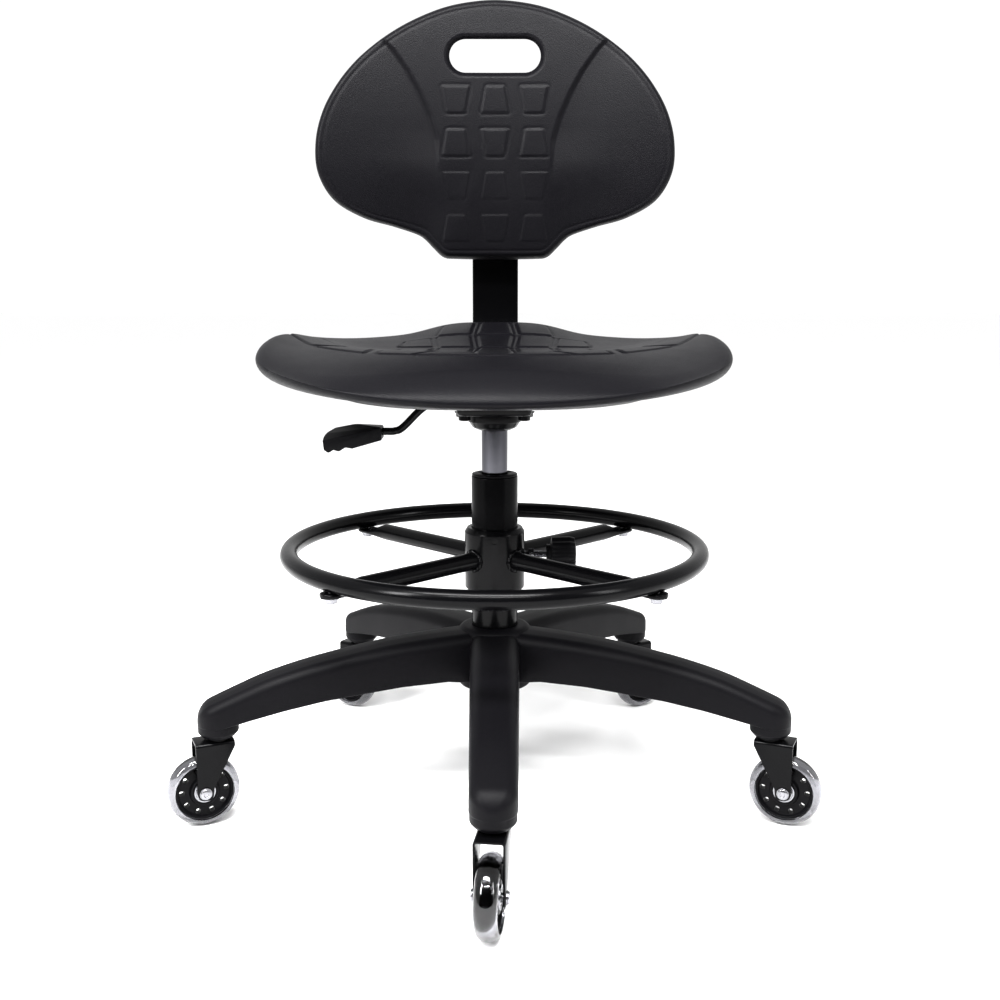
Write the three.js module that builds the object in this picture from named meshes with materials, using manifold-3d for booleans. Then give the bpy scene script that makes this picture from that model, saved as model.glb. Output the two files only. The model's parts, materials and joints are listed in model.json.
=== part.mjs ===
// A drafting chair: nylon five-star base on swivel casters, gas lift, adjustable foot ring,
// moulded polyurethane seat and backrest. Millimetres, +Z up, +X to the right of somebody who
// faces the chair, the front of the seat towards -Y. The column is modelled on x = 0, y = 0 and
// the floor at z = 0; the last lines move the whole chair so that the middle of its bounding box,
// at floor level, is the origin.

import * as THREE from "three";
import { mergeVertices } from "three/addons/utils/BufferGeometryUtils.js";
import Module from "manifold-3d";

const wasm = await Module();
wasm.setup();

const GAP = 0.3; // clearance between pieces that touch
const BOLT_RADIUS = 3;

// Base and casters
const LEGS = 5;
const STEM_CIRCLE = 301; // radius of the circle that the caster stems stand on
const LEG_WIDTH_AT_HUB = 54;
const LEG_CORNER = 12; // rounding along the top edges of a leg
// Along a leg, at a distance from the middle of the base: height of its top and of its underside.
const LEG_TOP = [
  [20, 184], [60, 182], [111, 178.5], [150, 173.5], [184, 168], [215, 162], [250, 153], [278, 143],
  [301, 134],
];
const LEG_BOTTOM = [
  [20, 128], [60, 133.5], [110, 132.7], [150, 129.5], [194, 125.5], [236, 119.2], [271, 112.3], [301, 106],
];
const TIP_RADIUS = 21; // the end of a leg is an upright cylinder
const TIP_ROUND = 14; // with its top edge rounded
const TIP_SLOPE = 0.39; // and its top falling on
const TIP_BOTTOM = 94;
const TIP_CHAMFER = 5;
const HUB_RADIUS = 40;
const HUB_CORNER = 8;
const HUB_TOP = 187;
const HUB_BOTTOM = 120;
const STEM_RADIUS = 5.5;
const STEM_CUP = 9; // radius of the bearing cup between fork and leg
const STEM_TOP = 121;
const SOCKET_TOP = 125;

const WHEEL_RADIUS = 37.5;
const WHEEL_WIDTH = 21.5;
const WHEEL_SIDES = 20;
const CORE_RADIUS = 31;
const CORE_WIDTH = 19;
const HUB_BORE = 4.5;
const TRAIL = 18; // from the swivel axis to the axle
const CASTER_TURNS = [-8, -6, -24, 24, 6]; // degrees that each caster is swivelled from its leg
const FORK_TOP = 91;
const FORK_SHEET = 2.2;
const FORK_GAP = 24;
const FORK_END = 8; // radius of the lower end of a side plate
const AXLE_RADIUS = 4;
const AXLE_HEAD = 5.8;
const AXLE_HEAD_HEIGHT = 3;

// Column and gas lift
const COLUMN_RADIUS = 25;
const COLUMN_WALL = 1.8;
const COLUMN_TOP = 352;
const COLUMN_BOTTOM = 96;
const BUSHING_LENGTH = 60;
const CYLINDER_RADIUS = 14;
const CYLINDER_TOP = 420;
const CYLINDER_BOTTOM = 172;
const ROD_RADIUS = 5;
const ROD_TOP = 300;
const PIN_RADIUS = 3.5;

// Foot ring
const RING_RADIUS = 221;
const RING_TUBE = 9.5;
const RING_Z = 272.5;
const SPOKE_Z = 262.5;
const SPOKES = 4;
const COLLAR_RADIUS = 32.5;
const COLLAR_BOTTOM = 226;
const COLLAR_TOP = 296;
const KNOB_Z = 265;
const KNOB_RADIUS = 19.5;
const KNOB_LENGTH = 32;
const KNOB_START = 56.5; // from the column's axis to the knob's neck
const STUD_RADIUS = 4;

// Seat
const SEAT_HALF_WIDTH = 239.5;
const SEAT_WIDEST_Y = -35; // where the seat is widest
const SEAT_FRONT = 178; // from there to the front edge
const SEAT_REAR = 245; // and to the rear edge
const SEAT_SQUARENESS = 2.5; // exponent of the plan outline
const SEAT_UNDERSIDE = 440;
const SEAT_AROUND = 40; // points round the outline
const DISH_Y = 110; // centre of the arcs that the front of the dish follows
const SEAT_BOARD = { width: 240, depth: 230, thickness: 12, y: -10, corner: 30 };
const PLATE_Z = 436;
const PLATE_SHEET = 3;
const CUP_BOTTOM = 401.5;
const CUP_RADIUS = 28;
const PAN_BOTTOM = 421;
const PAN_HALF_WIDTH = 39;
const PAN_DEPTH = 110;
const PLATE_BOLT = { x: 31, y: -32 };
const LEVER_Z = 430;
const LEVER_RADIUS = 4;
const PADDLE_Z = 399.6; // height of the rod where the paddle sits on it

// Backrest
const BAR_WIDTH = 56;
const BAR_THICKNESS = 7;
const BAR_Y = 226; // middle of the upright part
const BAR_TOP = 700;
const BACK_Y = 212; // rear face of the foam in the middle
const BACK_THICKNESS = 40;
const BACK_WRAP = 34; // how far forward the sides come
const BACK_CENTRE_Z = 722;
const HANDLE = { z: 816.5, length: 106, height: 37 };
// Half of the outline from the middle of the top down to the bottom of the tab: [half width, height].
const BACK_HALF_OUTLINE = [
  [0, 882.3], [28.8, 880], [57.2, 874], [84.8, 863.5], [111.6, 849.6], [137.4, 831.8], [161.8, 809.9],
  [183, 783.2], [199.5, 752.1], [207.9, 717.7], [206, 682.6], [188.5, 652], [155.6, 632.6],
  [120.4, 622.7], [93, 613.8], [82.6, 607], [73.7, 597.8], [61.7, 587.3], [45.8, 585.4], [0, 585],
];
const BACK_HALF_WIDTH = 208;
const BACK_LEAN = 0.05; // forward slope of the upright, millimetres a millimetre
const BRACKET = { width: 78, bottom: 606, top: 682, depth: 26 };
const BACK_SCREWS = { x: 33, z: 644 };
const BACK_KNOB = { radius: 20, length: 30 };

const LOOKS = {
  polyurethane: { color: 0x1d1d1f, roughness: 0.55, metalness: 0 },
  nylon: { color: 0x19191b, roughness: 0.6, metalness: 0 },
  powder_coat: { color: 0x0e0e0f, roughness: 0.25, metalness: 0.3 },
  black_plastic: { color: 0x141414, roughness: 0.5, metalness: 0 },
  bright_steel: { color: 0xb9bbbe, roughness: 0.25, metalness: 1 },
  chrome: { color: 0xc9cbd0, roughness: 0.12, metalness: 1 },
  clear_tyre: { color: 0xd8dadc, roughness: 0.15, metalness: 0 },
  plywood: { color: 0x8a6a45, roughness: 0.8, metalness: 0 },
};

// ---------------------------------------------------------------- solids

// Position-only, shared vertices, no flat triangles, faces pointing out.
function weld(geometry) {
  const bare = new THREE.BufferGeometry();
  bare.setAttribute("position", geometry.getAttribute("position"));
  if (geometry.index) bare.setIndex(geometry.index);
  const merged = mergeVertices(bare, 1e-4);
  const corners = merged.index.array;
  const kept = [];
  for (let i = 0; i < corners.length; i += 3) {
    const [a, b, c] = corners.slice(i, i + 3);
    if (a !== b && b !== c && c !== a) kept.push(a, b, c);
  }
  const p = merged.getAttribute("position");
  const [u, v, w] = [new THREE.Vector3(), new THREE.Vector3(), new THREE.Vector3()];
  let volume = 0;
  for (let i = 0; i < kept.length; i += 3) {
    u.fromBufferAttribute(p, kept[i]);
    v.fromBufferAttribute(p, kept[i + 1]);
    w.fromBufferAttribute(p, kept[i + 2]);
    volume += u.dot(v.cross(w));
  }
  if (volume < 0) kept.reverse();
  merged.setIndex(kept);
  return merged;
}

function toManifold(geometry) {
  const g = weld(geometry);
  const mesh = new wasm.Mesh({
    numProp: 3,
    vertProperties: new Float32Array(g.getAttribute("position").array),
    triVerts: new Uint32Array(g.index.array),
  });
  return new wasm.Manifold(mesh);
}

function toGeometry(solid) {
  const mesh = solid.getMesh();
  const g = new THREE.BufferGeometry();
  g.setAttribute("position", new THREE.BufferAttribute(mesh.vertProperties, 3));
  g.setIndex(new THREE.BufferAttribute(mesh.triVerts, 1));
  return g;
}

function join(first, ...others) {
  return toGeometry(others.reduce((solid, g) => solid.add(toManifold(g)), toManifold(first)));
}

function cut(first, ...others) {
  return toGeometry(others.reduce((solid, g) => solid.subtract(toManifold(g)), toManifold(first)));
}

// A turned piece about Z. The profile is a list of [radius, height].
function turned(profile, sides = 24) {
  const points = profile.map(([r, z]) => new THREE.Vector2(r, z));
  return weld(new THREE.LatheGeometry(points, sides).rotateX(Math.PI / 2));
}

// A ring or tube about Z with a rectangular section.
function tube(outer, inner, bottom, top, sides = 24) {
  return turned([[inner, bottom], [outer, bottom], [outer, top], [inner, top], [inner, bottom]], sides);
}

function disc(radius, bottom, top, sides = 24) {
  return turned([[0, bottom], [radius, bottom], [radius, top], [0, top]], sides);
}

function box(width, depth, height, x = 0, y = 0, z = 0) {
  return new THREE.BoxGeometry(width, depth, height).translate(x, y, z);
}

// A flat shape in the XY plane pulled up along Z.
function slab(shape, bottom, thickness, curveSegments = 4) {
  const options = { depth: thickness, bevelEnabled: false, curveSegments };
  return weld(new THREE.ExtrudeGeometry(shape, options).translate(0, 0, bottom));
}

function roundedRectangle(width, height, radius) {
  const [w, h] = [width / 2 - radius, height / 2 - radius];
  const shape = new THREE.Shape();
  shape.absarc(w, h, radius, 0, Math.PI / 2);
  shape.absarc(-w, h, radius, Math.PI / 2, Math.PI);
  shape.absarc(-w, -h, radius, Math.PI, Math.PI * 1.5);
  shape.absarc(w, -h, radius, Math.PI * 1.5, Math.PI * 2);
  return shape;
}

// A skin over rings of points that all have the same count, closed at both ends.
function stacked(rings) {
  const count = rings[0].length;
  const points = rings.flat();
  const index = [];
  for (let k = 0; k + 1 < rings.length; k += 1) {
    for (let i = 0; i < count; i += 1) {
      const j = (i + 1) % count;
      const [a, b, c, d] = [k * count + i, k * count + j, (k + 1) * count + j, (k + 1) * count + i];
      index.push(a, b, c, a, c, d);
    }
  }
  const cap = (ring, start, flip) => {
    const middle = ring.reduce((sum, p) => sum.add(p), new THREE.Vector3()).divideScalar(count);
    points.push(middle);
    for (let i = 0; i < count; i += 1) {
      const [a, b] = [start + i, start + ((i + 1) % count)];
      index.push(points.length - 1, flip ? b : a, flip ? a : b);
    }
  };
  cap(rings[0], 0, true);
  cap(rings[rings.length - 1], (rings.length - 1) * count, false);
  const g = new THREE.BufferGeometry();
  g.setAttribute("position", new THREE.Float32BufferAttribute(points.flatMap((p) => p.toArray()), 3));
  g.setIndex(index);
  return weld(g);
}

// Straight lines between [position, value] pairs.
function along(table, position) {
  const last = table.length - 1;
  if (position <= table[0][0]) return table[0][1];
  if (position >= table[last][0]) return table[last][1];
  const k = table.findIndex(([s]) => s > position) - 1;
  const [[s0, v0], [s1, v1]] = [table[k], table[k + 1]];
  return v0 + ((v1 - v0) * (position - s0)) / (s1 - s0);
}

function roundBar(points, radius, sides, steps) {
  const curve = new THREE.CatmullRomCurve3(points, false, "centripetal");
  const section = new THREE.Shape().absarc(0, 0, radius, 0, Math.PI * 2);
  const options = { steps, extrudePath: curve, bevelEnabled: false, curveSegments: sides / 2 };
  return weld(new THREE.ExtrudeGeometry(section, options));
}

// ---------------------------------------------------------------- base

function legSection(s, width, top, bottom) {
  const half = width / 2;
  const corner = Math.min(LEG_CORNER, half * 0.9);
  const ring = [];
  const arc = (y, z, from, to) => {
    for (let i = 0; i <= 2; i += 1) {
      const a = from + ((to - from) * i) / 2;
      ring.push(new THREE.Vector3(s, y + corner * Math.cos(a), z + corner * Math.sin(a)));
    }
  };
  ring.push(new THREE.Vector3(s, half, bottom));
  arc(half - corner, top - corner, 0, Math.PI / 2);
  arc(corner - half, top - corner, Math.PI / 2, Math.PI);
  ring.push(new THREE.Vector3(s, -half, bottom));
  return ring;
}

// Height of the top of the leg's rounded end, this far beyond the stem.
function tipTop(beyond) {
  const left = TIP_RADIUS - beyond;
  const drop = TIP_ROUND - Math.sqrt(TIP_ROUND ** 2 - Math.max(TIP_ROUND - left, 0) ** 2);
  return along(LEG_TOP, STEM_CIRCLE) - TIP_SLOPE * beyond - drop;
}

function leg() {
  const rings = LEG_TOP.map(([s, top]) => {
    const width = THREE.MathUtils.lerp(LEG_WIDTH_AT_HUB, 2 * TIP_RADIUS, s / STEM_CIRCLE);
    return legSection(s, width, top, along(LEG_BOTTOM, s));
  });
  const underside = along(LEG_BOTTOM, STEM_CIRCLE);
  for (const turn of [25, 45, 62, 76, 86]) {
    const a = THREE.MathUtils.degToRad(turn);
    const beyond = TIP_RADIUS * Math.sin(a);
    rings.push(legSection(STEM_CIRCLE + beyond, 2 * TIP_RADIUS * Math.cos(a), tipTop(beyond), underside));
  }
  const end = turned([
    [0, TIP_BOTTOM], [TIP_RADIUS - TIP_CHAMFER, TIP_BOTTOM], [TIP_RADIUS - 0.2, TIP_BOTTOM + TIP_CHAMFER],
    [TIP_RADIUS - 0.2, underside + 5], [0, underside + 5],
  ], 16).translate(STEM_CIRCLE, 0, 0);
  return join(stacked(rings), end);
}

function starBase() {
  const hub = turned([
    [0, HUB_BOTTOM], [HUB_RADIUS - 4, HUB_BOTTOM], [HUB_RADIUS, HUB_BOTTOM + 4],
    [HUB_RADIUS, HUB_TOP - HUB_CORNER], [HUB_RADIUS - HUB_CORNER, HUB_TOP], [0, HUB_TOP],
  ]);
  const legs = [];
  const sockets = [];
  for (let k = 0; k < LEGS; k += 1) {
    const socket = disc(STEM_RADIUS + GAP, TIP_BOTTOM - 5, SOCKET_TOP, 10).translate(STEM_CIRCLE, 0, 0);
    legs.push(leg().rotateZ(legAngle(k)));
    sockets.push(socket.rotateZ(legAngle(k)));
  }
  const bore = disc(COLUMN_RADIUS + GAP, HUB_BOTTOM - 20, HUB_TOP + 20);
  return cut(join(hub, ...legs), bore, ...sockets);
}

function legAngle(k) {
  return THREE.MathUtils.degToRad(-90 + (360 / LEGS) * k);
}

// ---------------------------------------------------------------- casters
// Each piece is modelled with the swivel axis on Z and the axle at x = TRAIL.

function casterStem() {
  const [bottom, top] = [FORK_TOP + GAP, TIP_BOTTOM - GAP];
  return turned([
    [0, bottom], [STEM_CUP, bottom], [STEM_CUP, top], [STEM_RADIUS, top], [STEM_RADIUS, STEM_TOP - 2],
    [STEM_RADIUS - 2, STEM_TOP], [0, STEM_TOP],
  ], 10);
}

// A strip of sheet bent into an upside-down U: its side plates narrow towards the axle.
function casterFork() {
  const side = new THREE.Shape();
  side.moveTo(-14, FORK_TOP);
  side.lineTo(-14, FORK_TOP - 5);
  side.lineTo(TRAIL - FORK_END, WHEEL_RADIUS + 3);
  side.absarc(TRAIL, WHEEL_RADIUS, FORK_END, Math.PI * 0.9, Math.PI * 2, false);
  side.lineTo(TRAIL + FORK_END, FORK_TOP);
  side.closePath();
  const outer = FORK_GAP + 2 * FORK_SHEET;
  const block = slab(side, -outer / 2, outer, 6).rotateX(Math.PI / 2);
  const inside = box(100, FORK_GAP, 100, 0, 0, FORK_TOP - FORK_SHEET - 50);
  const axleHole = disc(AXLE_RADIUS + GAP, -30, 30, 10)
    .rotateX(Math.PI / 2)
    .translate(TRAIL, 0, WHEEL_RADIUS);
  return cut(block, inside, axleHole);
}

function casterAxle() {
  const half = FORK_GAP / 2 + FORK_SHEET + GAP;
  const end = half + AXLE_HEAD_HEIGHT;
  return turned([
    [0, -end], [AXLE_HEAD, -end], [AXLE_HEAD, -half], [AXLE_RADIUS, -half],
    [AXLE_RADIUS, half], [AXLE_HEAD, half], [AXLE_HEAD, end], [0, end],
  ], 10).rotateX(Math.PI / 2).translate(TRAIL, 0, WHEEL_RADIUS);
}

// Turned about the axle, with a flat facet straight down.
function wheelPiece(profile) {
  return turned(profile, WHEEL_SIDES)
    .rotateZ(Math.PI / WHEEL_SIDES)
    .rotateX(Math.PI / 2)
    .translate(TRAIL, 0, WHEEL_RADIUS);
}

function casterCore() {
  const half = CORE_WIDTH / 2;
  return wheelPiece([
    [HUB_BORE, -half], [12.5, -half], [CORE_RADIUS, -half + 2], [CORE_RADIUS, half - 2], [12.5, half],
    [HUB_BORE, half], [HUB_BORE, -half],
  ]);
}

function casterTyre() {
  const half = WHEEL_WIDTH / 2;
  const grow = 1 / Math.cos(Math.PI / WHEEL_SIDES); // so that the facets, not the corners, lie on the tread
  const inner = CORE_RADIUS + GAP;
  const profile = [
    [inner, -half], [32.5, -half], [35.6, -half + 3.5], [WHEEL_RADIUS, -3], [WHEEL_RADIUS, 3],
    [35.6, half - 3.5], [32.5, half], [inner, half], [inner, -half],
  ];
  return wheelPiece(profile.map(([r, z]) => [r * grow, z]));
}

// ---------------------------------------------------------------- column and gas lift

function columnTube() {
  return tube(COLUMN_RADIUS, COLUMN_RADIUS - COLUMN_WALL, COLUMN_BOTTOM, COLUMN_TOP);
}

function columnBushing() {
  const outer = COLUMN_RADIUS - COLUMN_WALL - GAP;
  return tube(outer, CYLINDER_RADIUS + GAP, COLUMN_TOP - BUSHING_LENGTH, COLUMN_TOP - 1);
}

// The bottom cap of the column: it holds the rod's thrust bearing.
function rodSeat() {
  return tube(COLUMN_RADIUS - COLUMN_WALL - GAP, ROD_RADIUS + GAP, COLUMN_BOTTOM + 1, COLUMN_BOTTOM + 9);
}

function pistonRod() {
  return turned([
    [0, COLUMN_BOTTOM - 4], [ROD_RADIUS + 3, COLUMN_BOTTOM - 4], [ROD_RADIUS + 3, COLUMN_BOTTOM - 1],
    [ROD_RADIUS, COLUMN_BOTTOM - 1], [ROD_RADIUS, ROD_TOP], [0, ROD_TOP],
  ], 12);
}

function gasCylinder() {
  const bore = ROD_RADIUS + GAP;
  return turned([
    [bore, CYLINDER_BOTTOM], [CYLINDER_RADIUS, CYLINDER_BOTTOM], [CYLINDER_RADIUS, CYLINDER_TOP - 1],
    [CYLINDER_RADIUS - 1, CYLINDER_TOP], [PIN_RADIUS + GAP, CYLINDER_TOP],
    [PIN_RADIUS + GAP, CYLINDER_TOP - 14], [bore, CYLINDER_TOP - 16], [bore, CYLINDER_BOTTOM],
  ]);
}

function valvePin() {
  return disc(PIN_RADIUS, CYLINDER_TOP - 10, LEVER_Z - LEVER_RADIUS - GAP, 12);
}

// ---------------------------------------------------------------- foot ring

function spokeAngle(k) {
  return THREE.MathUtils.degToRad(45 + (360 / SPOKES) * k);
}

function ringBoltHole(k) {
  return disc(BOLT_RADIUS + GAP, 240, RING_Z + 2, 8).translate(RING_RADIUS, 0, 0).rotateZ(spokeAngle(k));
}

function footRing() {
  const ring = new THREE.TorusGeometry(RING_RADIUS, RING_TUBE, 8, 48).translate(0, 0, RING_Z);
  const holes = [];
  for (let k = 0; k < SPOKES; k += 1) {
    holes.push(ringBoltHole(k));
  }
  return cut(ring, ...holes);
}

function ringCollar() {
  const bore = COLUMN_RADIUS + GAP;
  const body = turned([
    [bore, COLLAR_BOTTOM], [COLLAR_RADIUS - 3, COLLAR_BOTTOM], [COLLAR_RADIUS, COLLAR_BOTTOM + 3],
    [COLLAR_RADIUS, COLLAR_TOP - 3], [COLLAR_RADIUS - 3, COLLAR_TOP], [bore, COLLAR_TOP],
    [bore, COLLAR_BOTTOM],
  ]);
  const studHole = disc(STUD_RADIUS + GAP, 20, 60, 12).rotateY(Math.PI / 2).translate(0, 0, KNOB_Z);
  return cut(body, studHole);
}

// A tube whose outer end is pressed flat so that it bolts under the ring.
function ringSpoke(k) {
  const flatStart = RING_RADIUS - 34;
  const round = disc(RING_TUBE, COLLAR_RADIUS - 1, flatStart, 10)
    .rotateY(Math.PI / 2)
    .translate(0, 0, SPOKE_Z);
  const flatTop = RING_Z - RING_TUBE - GAP;
  const flatThickness = 5;
  const flatHeight = (x) => THREE.MathUtils.smoothstep(x, flatStart, flatStart + 16);
  const rings = [];
  for (const x of [flatStart - 6, flatStart, flatStart + 8, flatStart + 16, RING_RADIUS + 12]) {
    const t = flatHeight(x);
    const halfWidth = THREE.MathUtils.lerp(RING_TUBE * 0.9, RING_TUBE * 1.25, t);
    const top = THREE.MathUtils.lerp(SPOKE_Z + RING_TUBE * 0.9, flatTop, t);
    const bottom = THREE.MathUtils.lerp(SPOKE_Z - RING_TUBE * 0.9, flatTop - flatThickness, t);
    rings.push([[halfWidth, bottom], [halfWidth, top], [-halfWidth, top], [-halfWidth, bottom]]
      .map(([y, z]) => new THREE.Vector3(x, y, z)));
  }
  const collarSpace = disc(COLLAR_RADIUS + GAP, 200, 330);
  const boltHole = disc(BOLT_RADIUS + GAP, 240, 290, 8).translate(RING_RADIUS, 0, 0);
  return cut(join(round, stacked(rings)), collarSpace, boltHole).rotateZ(spokeAngle(k));
}

function ringBolt(k) {
  const under = RING_Z - RING_TUBE - GAP - 5 - GAP;
  return turned([
    [0, under - 4], [5, under - 4], [7, under - 2], [7, under], [BOLT_RADIUS, under],
    [BOLT_RADIUS, RING_Z - 1], [0, RING_Z - 1],
  ], 8).translate(RING_RADIUS, 0, 0).rotateZ(spokeAngle(k));
}

function ringKnobStud() {
  return disc(STUD_RADIUS, COLUMN_RADIUS + GAP, 74, 12).rotateY(Math.PI / 2).translate(0, 0, KNOB_Z);
}

// A ribbed hand knob about Z, its open neck at z = 0 and the stud's bore up the middle.
function handKnob(radius, height, ribs = 8) {
  const shape = new THREE.Shape();
  const steps = ribs * 2;
  for (let i = 0; i <= steps; i += 1) {
    const a = (i / steps) * Math.PI * 2;
    const r = radius - (i % 2 === 0 ? radius * 0.09 : 0);
    if (i === 0) shape.moveTo(r, 0);
    else if (i < steps) shape.lineTo(r * Math.cos(a), r * Math.sin(a));
  }
  shape.closePath();
  const neck = disc(radius * 0.55, 0, 5, 12);
  const cap = disc(radius * 0.85, height - 2, height, 16);
  const bore = disc(STUD_RADIUS + GAP, -1, height * 0.55, 12);
  return cut(join(slab(shape, 4, height - 5), neck, cap), bore);
}

// ---------------------------------------------------------------- seat

// Plan outline: a rounded shape that is widest in front of its middle.
function seatOutline(angle) {
  const [c, s] = [Math.cos(angle), Math.sin(angle)];
  const reach = s < 0 ? SEAT_FRONT : SEAT_REAR;
  const p = 2 / SEAT_SQUARENESS;
  return [
    SEAT_HALF_WIDTH * Math.sign(c) * Math.abs(c) ** p,
    SEAT_WIDEST_Y + reach * Math.sign(s) * Math.abs(s) ** p,
  ];
}

// Height of the sitting surface: a dish with a low ridge round its front, raised sides, a hump
// at the rear and a front that falls away.
function seatTop(x, y) {
  const side = Math.abs(x) / SEAT_HALF_WIDTH;
  const fromDish = Math.hypot(x, Math.min(y, DISH_Y) - DISH_Y);
  const rear = THREE.MathUtils.smoothstep(y, 20, 195);
  const ridge = 4.5 * Math.exp(-(((fromDish - 205) / 45) ** 2));
  const fall = 20 * (Math.max(fromDish - 225, 0) / 100) ** 2;
  const wing = 23 * side ** 6 * (1 - 0.8 * rear);
  const hump = rear * (14 * Math.exp(-((x / 85) ** 4)) + 11 * Math.exp(-((x / 180) ** 4)));
  return 484 + ridge - fall + wing + hump + 3 * rear;
}

// Height of the widest line round the edge, and of the lowest line under it.
function seatEdge(x, y) {
  const side = Math.abs(x) / SEAT_HALF_WIDTH;
  const rear = THREE.MathUtils.smoothstep(y, -60, 190);
  return 448 + 34 * side ** 2.2 + 26 * rear * Math.max(1 - side, 0);
}

function seatLip(x, y) {
  const side = Math.abs(x) / SEAT_HALF_WIDTH;
  const rear = THREE.MathUtils.smoothstep(y, -60, 190);
  return 443 + 16 * side ** 2 + 6 * rear;
}

// The seat's skin: the underside, the roll under the edge, the roll over it and the dish.
function seatFoam() {
  const outline = [];
  for (let i = 0; i < SEAT_AROUND; i += 1) {
    outline.push(seatOutline((i / SEAT_AROUND) * Math.PI * 2));
  }
  const layer = (inset, height) => outline.map(([ox, oy]) => {
    const side = (Math.abs(ox) / SEAT_HALF_WIDTH) ** 2;
    const reach = Math.hypot(ox, oy - SEAT_WIDEST_Y);
    const scale = 1 - inset(side, reach) / reach;
    const x = ox * scale;
    const y = SEAT_WIDEST_Y + (oy - SEAT_WIDEST_Y) * scale;
    return new THREE.Vector3(x, y, height(x, y, ox, oy));
  });
  const { lerp, degToRad } = THREE.MathUtils;
  const underRoll = (side) => lerp(12, 36, side);
  const topRoll = (side) => lerp(40, 12, side);
  const rings = [];
  for (const [frontScale, sideScale] of [[0.2, 0.2], [0.78, 0.62]]) {
    rings.push(layer((side, reach) => reach * (1 - lerp(frontScale, sideScale, side)), () => SEAT_UNDERSIDE));
  }
  for (const turn of [10, 40, 70]) {
    const a = degToRad(turn);
    rings.push(layer((side) => underRoll(side) * (1 - Math.sin(a)), (x, y, ox, oy) => (
      lerp(seatEdge(ox, oy), seatLip(ox, oy), Math.cos(a))
    )));
  }
  for (const turn of [0, 30, 60, 90]) {
    const a = degToRad(turn);
    rings.push(layer((side) => topRoll(side) * (1 - Math.cos(a)), (x, y, ox, oy) => (
      lerp(seatEdge(ox, oy), seatTop(x, y), Math.sin(a))
    )));
  }
  for (const scale of [0.72, 0.55, 0.36, 0.18]) {
    rings.push(layer((side, reach) => reach * (1 - scale), (x, y) => seatTop(x, y)));
  }
  const { width, depth, thickness, y, corner } = SEAT_BOARD;
  const outer = roundedRectangle(width + 2 * GAP, depth + 2 * GAP, corner);
  const recess = slab(outer, SEAT_UNDERSIDE - 5, thickness + 5 + GAP).translate(0, y, 0);
  return cut(stacked(rings), recess);
}

function seatBoard() {
  const { width, depth, thickness, y, corner } = SEAT_BOARD;
  return slab(roundedRectangle(width, depth, corner), SEAT_UNDERSIDE - GAP, thickness).translate(0, y, 0);
}

// Pressed plate with a square pan under it; the lever leaves through a slot in the left wall.
function seatPlate() {
  const plate = slab(roundedRectangle(170, 190, 14), PLATE_Z, PLATE_SHEET - GAP);
  const pan = slab(roundedRectangle(2 * PAN_HALF_WIDTH, PAN_DEPTH, 10), PAN_BOTTOM, PLATE_Z - PAN_BOTTOM + 1);
  const inner = roundedRectangle(2 * (PAN_HALF_WIDTH - PLATE_SHEET), PAN_DEPTH - 2 * PLATE_SHEET, 7);
  const hollow = slab(inner, PAN_BOTTOM + PLATE_SHEET, PLATE_Z - PAN_BOTTOM - PLATE_SHEET);
  const cupHole = disc(CUP_RADIUS + GAP, PAN_BOTTOM - 5, PAN_BOTTOM + 10);
  const slot = box(20, 11, 11, -PAN_HALF_WIDTH, 0, LEVER_Z);
  const bolts = [-1, 1].map((side) => plateBoltHole(side));
  return cut(join(plate, pan), hollow, cupHole, slot, ...bolts);
}

function plateBoltHole(side) {
  return disc(BOLT_RADIUS + GAP, PAN_BOTTOM - 5, PLATE_Z - 4, 12)
    .translate(side * PLATE_BOLT.x, PLATE_BOLT.y, 0);
}

function plateBolt(side) {
  const [head, top] = [PAN_BOTTOM - GAP, PLATE_Z - 6];
  return turned([
    [0, head - 5], [6, head - 5], [6, head], [BOLT_RADIUS, head], [BOLT_RADIUS, top], [0, top],
  ], 6).translate(side * PLATE_BOLT.x, PLATE_BOLT.y, 0);
}

function taperCup() {
  const [bore, top] = [CYLINDER_RADIUS + GAP, PAN_BOTTOM + PLATE_SHEET - GAP];
  return turned([
    [bore, CUP_BOTTOM], [bore + 2, CUP_BOTTOM], [CUP_RADIUS - 5, CUP_BOTTOM + 3.5],
    [CUP_RADIUS, CUP_BOTTOM + 9], [CUP_RADIUS, top], [bore, top], [bore, CUP_BOTTOM],
  ]);
}

function leverRod() {
  const route = [
    [9, LEVER_Z], [-30, LEVER_Z], [-60, LEVER_Z - 0.5], [-76, 425], [-98, 404], [-107, 400],
    [-116, PADDLE_Z], [-128, PADDLE_Z],
  ];
  return roundBar(route.map(([x, z]) => new THREE.Vector3(x, 0, z)), LEVER_RADIUS, 8, 16);
}

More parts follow.
